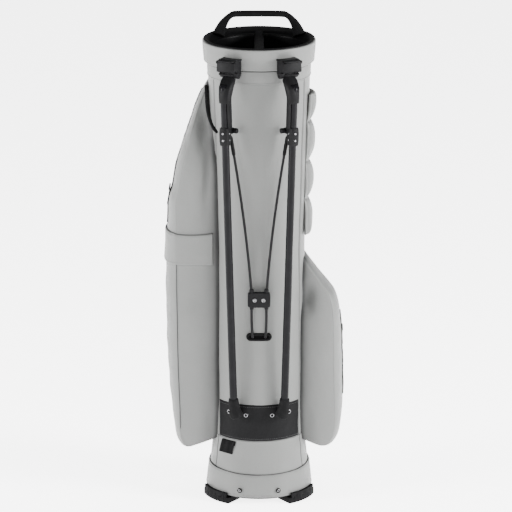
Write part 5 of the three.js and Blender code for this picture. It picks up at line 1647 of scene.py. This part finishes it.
def make_boot(sewing):
    """The boot: a leather collar over a moulded shell on three rubber feet, with two face screws."""
    low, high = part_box("boot_skin")
    points = node_points("boot_skin")
    radius = np.hypot(points[:, 0] - AXIS_X, points[:, 1] - AXIS_Y)
    bottom_radius = radius[points[:, 2] < low.z + 0.006].max()
    azimuth = np.linspace(0, 2 * math.pi, 260, endpoint=False)
    front = edge_height(points, radius, azimuth)
    t = rounded_steps(30, 0.03)
    z = low.z + (front[None] - low.z) * t[:, None]
    taper = bottom_radius + (radius[np.argmax(points[:, 2])] - bottom_radius) * t**1.4
    soft = drift(np.sin(azimuth)[None] * 0.1, np.cos(azimuth)[None] * 0.1, z, 44, 0.06) * sewing.wrinkle * 0.7
    edge = edge_fall(t, 0.045)[:, None]
    outer = round_bag(azimuth[None], taper[:, None] + soft * edge - 0.0012 * (1 - edge), z)
    inner = round_bag(azimuth[None], taper[:, None] - 0.0026, z)[::-1]
    surface = Surface()
    # Painted shade: the collar's upper and lower edges are darkened, and its inside is painted near black.
    edges = groove(np.minimum(t, 1 - t), 0.03)[:, None] * 0.85 * np.ones(len(azimuth))
    surface.ring_wall(np.vstack([outer, inner]), np.vstack([edges, np.ones_like(edges)]), (0.6, 0.1))
    for share in (0.09, 0.91):
        row = np.argmin(abs(t - share))
        line = np.vstack([outer[row], outer[row, :1]])
        facing = unit(line - round_bag(0, 0, line[:, 2]))
        stitch_run(surface, line + facing * 0.0001, facing, sewing, 1)
    piece = surface.piece("boot_collar", finishes("leather", "thread"))
    dress(piece, "boot", "leather_grey", "boot_skin")
    hard_part("boot_shell", "boot", "plastic_black", "dark_plastic", 0.0012)
    for node in ("front_foot_left", "front_foot_right", "rear_foot"):
        hard_part(node, "boot", "rubber_black", "rubber", 0.0022)
    for node in ("boot_screw_left", "boot_screw_right"):
        make_screw(node)


def edge_height(points, radius, azimuth):
    """The height of the collar's upper edge round the bag, read from the frame."""
    turn = np.arctan2(points[:, 0] - AXIS_X, -(points[:, 1] - AXIS_Y)) % (2 * math.pi)
    upper = points[:, 2] > 0.05
    order = np.argsort(turn[upper])
    turns, heights = turn[upper][order], points[upper][order, 2]
    return np.interp(azimuth, turns, smooth_values(heights, 6), period=2 * math.pi)


def make_screw(node):
    """A pan-head screw in a cup washer, with two black bars standing up in its head as painted shade in place
    of a cross cut.
    """
    centre = middle_of(node)
    out = unit(np.array([centre[0] - AXIS_X, centre[1] - AXIS_Y, 0]))
    reach = max(abs((node_points(node) - np.array([AXIS_X, AXIS_Y, 0])) @ out))
    base = np.array([AXIS_X, AXIS_Y, centre[2]]) + out * (reach - 0.0014)
    surface = Surface()
    surface.ring_solid(placed(eyelet_rings(0.0047), base, axes_facing(out)), slot=1)
    surface.ring_solid(placed(dome_rings(0.003, 0.0011, 0.0004), base, axes_facing(out)))
    # The cross is two black bars standing up from the head: painted shade where a cut recess would be.
    cross = squared_circle(12, 8.0)
    for size in ((0.0022, 0.00035), (0.00035, 0.0022)):
        rings = np.zeros((2, 12, 3))
        rings[..., :2] = cross * np.array(size)
        rings[..., 2] = np.array([0.0005, 0.00155])[:, None]
        surface.ring_solid(placed(rings, base, axes_facing(out)), slot=1)
    piece = surface.piece(node + "_head", finishes("nickel", "lining"))
    dress(piece, "boot", "nickel", node)


def make_pull(name):
    """A zip pull with rounded edges, leaning in towards its pocket as it rises."""
    node = "zip_pull_" + name
    piece = hard_part(node, "zip_" + name, "nickel", "rubber", 0.0006)
    points = mesh_points(piece)
    rise = points[:, 2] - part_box(node)[0].z
    points[:, 0] -= np.sign(points[:, 0] - AXIS_X) * rise * PULL_LEAN[name]
    set_points(piece, points)


def coat_frame_nodes():
    """Gives the frame nodes that stay in view their own finishes."""
    stay = {"divider_sheet": "lining", "lower_cup": "dark_plastic", "boot_hinge_pin": "nickel"}
    for node, name in stay.items():
        mesh = frame["nodes"][node].data
        mesh.materials.clear()
        mesh.materials.append(finish(name))


# ---- Stage -----------------------------------------------------------------------------------

FLOOR_REACH = 70
# Each softbox: its name, its place from the bag's middle and its size.
SOFTBOXES = (
    ("left", (-3.15, -1.2, 0.7), 1.0), ("right", (3.15, -1.3, 0.9), 1.0),
    ("front", (0.3, -4.5, 2.6), 2.0), ("top", (0.0, 0.6, 3.4), 3.0),
)


def make_stage(studio):
    """A wide pale floor that glows a little, four soft lights and the camera."""
    floor = Surface()
    reach = np.linspace(-FLOOR_REACH, FLOOR_REACH, 60)
    sheet = np.stack(np.broadcast_arrays(reach[None], reach[:, None], -0.0002), axis=-1)
    floor.slab(sheet, sheet - np.array([0, 0, 0.02]), size=(2 * FLOOR_REACH, 2 * FLOOR_REACH))
    recipe = Recipe("Paper floor", 0.9)
    fibres = recipe.noise(40, 5)
    tone = recipe.blend(recipe.spread(fibres, 0.3, 0.7), shade(studio.floor, 0.992), studio.floor)
    material = recipe.done(tone, normal=recipe.bump(fibres, 0.0004, 0.2))
    recipe.shader.inputs["Emission Color"].default_value = (1, 1, 1, 1)
    recipe.shader.inputs["Emission Strength"].default_value = studio.glow
    piece = floor.piece("floor", [material])
    world = bpy.data.worlds.new("Studio air")
    bpy.context.scene.world = world
    world.use_nodes = True
    world.node_tree.nodes["Background"].inputs["Color"].default_value = (1, 1, 1, 1)
    world.node_tree.nodes["Background"].inputs["Strength"].default_value = studio.air
    middle = np.array([AXIS_X, AXIS_Y, 0.45])
    for name, offset, size in SOFTBOXES:
        softbox(name, middle + offset, middle, size, getattr(studio, name))
    add_camera(studio)


def softbox(name, place, aim, size, power):
    """A square area light that faces a point."""
    light = bpy.data.lights.new(name, "AREA")
    light.energy, light.size = power, size
    holder = bpy.data.objects.new(name, light)
    holder.location = place
    holder.rotation_euler = (Vector(aim) - Vector(place)).to_track_quat("-Z", "Y").to_euler()
    bpy.context.scene.collection.objects.link(holder)


def add_camera(studio):
    """The camera, level with its aim and tilted down by the chosen angle."""
    camera = bpy.data.cameras.new("camera")
    camera.sensor_width = 36
    camera.lens = studio.lens
    camera.clip_end = 200
    holder = bpy.data.objects.new("camera", camera)
    aim = Vector((AXIS_X - 0.0056, AXIS_Y, studio.aim_height))
    back = Vector((0, -math.cos(studio.tilt), math.sin(studio.tilt)))
    holder.location = aim + back * studio.distance
    holder.rotation_euler = (-back).to_track_quat("-Z", "Y").to_euler()
    bpy.context.scene.collection.objects.link(holder)
    bpy.context.scene.camera = holder


# ---- Settings --------------------------------------------------------------------------------


def colour_setting(name, description, default):
    """A colour that can be chosen."""
    limits = {"size": 3, "min": 0, "max": 1, "subtype": "COLOR"}
    return bpy.props.FloatVectorProperty(name=name, description=description, default=default, **limits)


def number_setting(name, description, default, **limits):
    """A number that can be chosen."""
    return bpy.props.FloatProperty(name=name, description=description, default=default, **limits)


def length_setting(name, description, default, low, high):
    """A length in metres that can be chosen."""
    return number_setting(name, description, default, min=low, max=high, unit="LENGTH", precision=5)


def power_setting(name, description, default):
    """A light's power in watts."""
    return number_setting(name, description, default, min=0, unit="POWER")


class BagLook(bpy.types.PropertyGroup):
    """Colours and the scale of each finish."""

    leather: colour_setting("Leather", "Main leather colour", (0.092, 0.0938, 0.0912))
    black_leather: colour_setting("Panel leather", "Rest panel and divider colour", (0.005, 0.005, 0.0053))
    plastic: colour_setting("Plastic", "Brackets, clamps and bridge colour", (0.004, 0.004, 0.0043))
    rubber: colour_setting("Rubber", "Feet and grip colour", (0.0035, 0.0035, 0.0037))
    enamel: colour_setting("Enamel", "Leg tube colour", (0.003, 0.003, 0.0035))
    nickel: colour_setting("Nickel", "Rivet, eyelet and screw colour", (0.12, 0.12, 0.124))
    webbing: colour_setting("Webbing", "Handle, tab and strap web colour", (0.004, 0.004, 0.0042))
    lining: colour_setting("Lining", "Inside cloth colour", (0.001, 0.001, 0.0011))
    grain: length_setting("Grain", "Size of one pebble of the leather's grain", 0.0011, 0.0004, 0.004)
    weave: length_setting("Weave", "Pitch of the webbing's threads", 0.0017, 0.0006, 0.005)


class BagSewing(bpy.types.PropertyGroup):
    """Sizes of seams, stitches and padding."""

    stitch_pitch: length_setting("Stitch pitch", "Length of a stitch and its gap", 0.0036, 0.002, 0.01)
    thread: length_setting("Thread", "Half the thread's thickness", 0.00034, 0.0001, 0.001)
    seam_width: length_setting("Seam width", "Half width of a seam's groove", 0.0009, 0.0003, 0.003)
    wrinkle: length_setting("Wrinkle", "How far the cover wanders from round", 0.0005, 0, 0.003)
    puff: number_setting("Puff", "How full the pockets are", 1.0, min=0, max=2)
    pad_cap: length_setting("Pad swell", "Most the back pad swells when stuffed", 0.0058, 0.001, 0.016)
    strap_cap: length_setting("Strap swell", "Most a strap pad swells when stuffed", 0.0032, 0.001, 0.016)


class BagStudio(bpy.types.PropertyGroup):
    """The stage, lights and camera."""

    floor: colour_setting("Floor", "Floor colour", (0.96, 0.96, 0.96))
    glow: number_setting("Glow", "Light the floor gives by itself", 4.6, min=0, max=9)
    air: number_setting("Air", "Strength of the light from all round", 0.32, min=0, max=5)
    left: power_setting("Left", "Power of the left-hand light", 250)
    right: power_setting("Right", "Power of the right-hand light", 390)
    front: power_setting("Front", "Power of the light in front", 120)
    top: power_setting("Top", "Power of the light overhead", 60)
    tilt: number_setting("Tilt", "How far the camera looks down", math.radians(15), subtype="ANGLE")
    distance: length_setting("Distance", "Camera to aim", 8.0, 1, 30)
    aim_height: length_setting("Aim height", "Height of the point the camera aims at", 0.458, 0, 2)
    lens: number_setting("Lens", "Focal length in millimetres", 300.8, min=20, max=600)


# ---- Operators -------------------------------------------------------------------------------


class BAG_OT_cover(bpy.types.Operator):
    """Make the tube's leather cover and its skirt"""

    bl_idname = "golf_bag.cover"
    bl_label = "Tube cover"

    def execute(self, context):
        make_tube_cover(context.scene.bag_sewing)
        make_skirt(context.scene.bag_sewing)
        return {"FINISHED"}


class BAG_OT_trims(bpy.types.Operator):
    """Make the rest panel, the cuff and the webbing tab"""

    bl_idname = "golf_bag.trims"
    bl_label = "Panel, cuff and tab"

    def execute(self, context):
        make_rest_panel(context.scene.bag_sewing)
        make_cuff(context.scene.bag_sewing)
        make_side_tab(context.scene.bag_sewing)
        return {"FINISHED"}


class BAG_OT_rim(bpy.types.Operator):
    """Make the rim with its divider, and the lift handle"""

    bl_idname = "golf_bag.rim"
    bl_label = "Rim and handle"

    def execute(self, context):
        make_rim()
        make_handle()
        make_grip()
        return {"FINISHED"}


class BAG_OT_legs(bpy.types.Operator):
    """Make both legs and the brackets they hang from"""

    bl_idname = "golf_bag.legs"
    bl_label = "Legs"

    def execute(self, context):
        for name, side in SIDES:
            make_bracket(name, side)
            make_leg(name, side)
        return {"FINISHED"}


class BAG_OT_actuator(bpy.types.Operator):
    """Make the bridge, the flexible rods and the slot they pass through"""

    bl_idname = "golf_bag.actuator"
    bl_label = "Rods and bridge"

    def execute(self, context):
        make_bridge()
        make_grommet()
        for name, side in SIDES:
            make_rod(name, side)
            make_strand(name, side)
        return {"FINISHED"}


class BAG_OT_pockets(bpy.types.Operator):
    """Make the three pockets and their zip pulls"""

    bl_idname = "golf_bag.pockets"
    bl_label = "Pockets"

    def execute(self, context):
        make_left_pocket(context.scene.bag_sewing)
        make_right_pocket(context.scene.bag_sewing)
        make_rear_pocket(context.scene.bag_sewing)
        for name, _ in SIDES:
            make_pull(name)
        return {"FINISHED"}


class BAG_OT_back(bpy.types.Operator):
    """Make the quilted pad, the shoulder straps and their anchors"""

    bl_idname = "golf_bag.back"
    bl_label = "Pad and straps"

    def execute(self, context):
        make_back_pad(context.scene.bag_sewing)
        for name, side in SIDES:
            make_strap(name, side, context.scene.bag_sewing)
        make_anchors()
        return {"FINISHED"}


class BAG_OT_boot(bpy.types.Operator):
    """Make the boot, its feet and screws"""

    bl_idname = "golf_bag.boot"
    bl_label = "Boot"

    def execute(self, context):
        make_boot(context.scene.bag_sewing)
        coat_frame_nodes()
        return {"FINISHED"}


class BAG_OT_stage(bpy.types.Operator):
    """Make the floor, the lights and the camera"""

    bl_idname = "golf_bag.stage"
    bl_label = "Stage"

    def execute(self, context):
        make_stage(context.scene.bag_studio)
        return {"FINISHED"}


OPERATORS = (
    BAG_OT_stage,
    BAG_OT_cover,
    BAG_OT_trims,
    BAG_OT_rim,
    BAG_OT_legs,
    BAG_OT_actuator,
    BAG_OT_pockets,
    BAG_OT_back,
    BAG_OT_boot,
)


class BAG_PT_panel(bpy.types.Panel):
    """Lists the bag's settings and the steps that build it"""

    bl_idname = "BAG_PT_panel"
    bl_label = "Golf Bag"
    bl_space_type = "VIEW_3D"
    bl_region_type = "UI"
    bl_category = "Golf Bag"

    def draw(self, context):
        for group in (context.scene.bag_look, context.scene.bag_sewing, context.scene.bag_studio):
            box = self.layout.box()
            for name in group.bl_rna.properties.keys():
                if name not in ("rna_type", "name"):
                    box.prop(group, name)
        for operator in OPERATORS:
            self.layout.operator(operator.bl_idname)


GROUPS = {"bag_look": BagLook, "bag_sewing": BagSewing, "bag_studio": BagStudio}


def register():
    for group in GROUPS.values():
        bpy.utils.register_class(group)
    for name, group in GROUPS.items():
        setattr(bpy.types.Scene, name, bpy.props.PointerProperty(type=group))
    for operator in (*OPERATORS, BAG_PT_panel):
        bpy.utils.register_class(operator)


def unregister():
    for operator in reversed((*OPERATORS, BAG_PT_panel)):
        bpy.utils.unregister_class(operator)
    for name, group in GROUPS.items():
        delattr(bpy.types.Scene, name)
        bpy.utils.unregister_class(group)


def main():
    register()
    for operator in OPERATORS:
        group, name = operator.bl_idname.split(".")
        getattr(getattr(bpy.ops, group), name)()


if __name__ == "__main__":
    main()
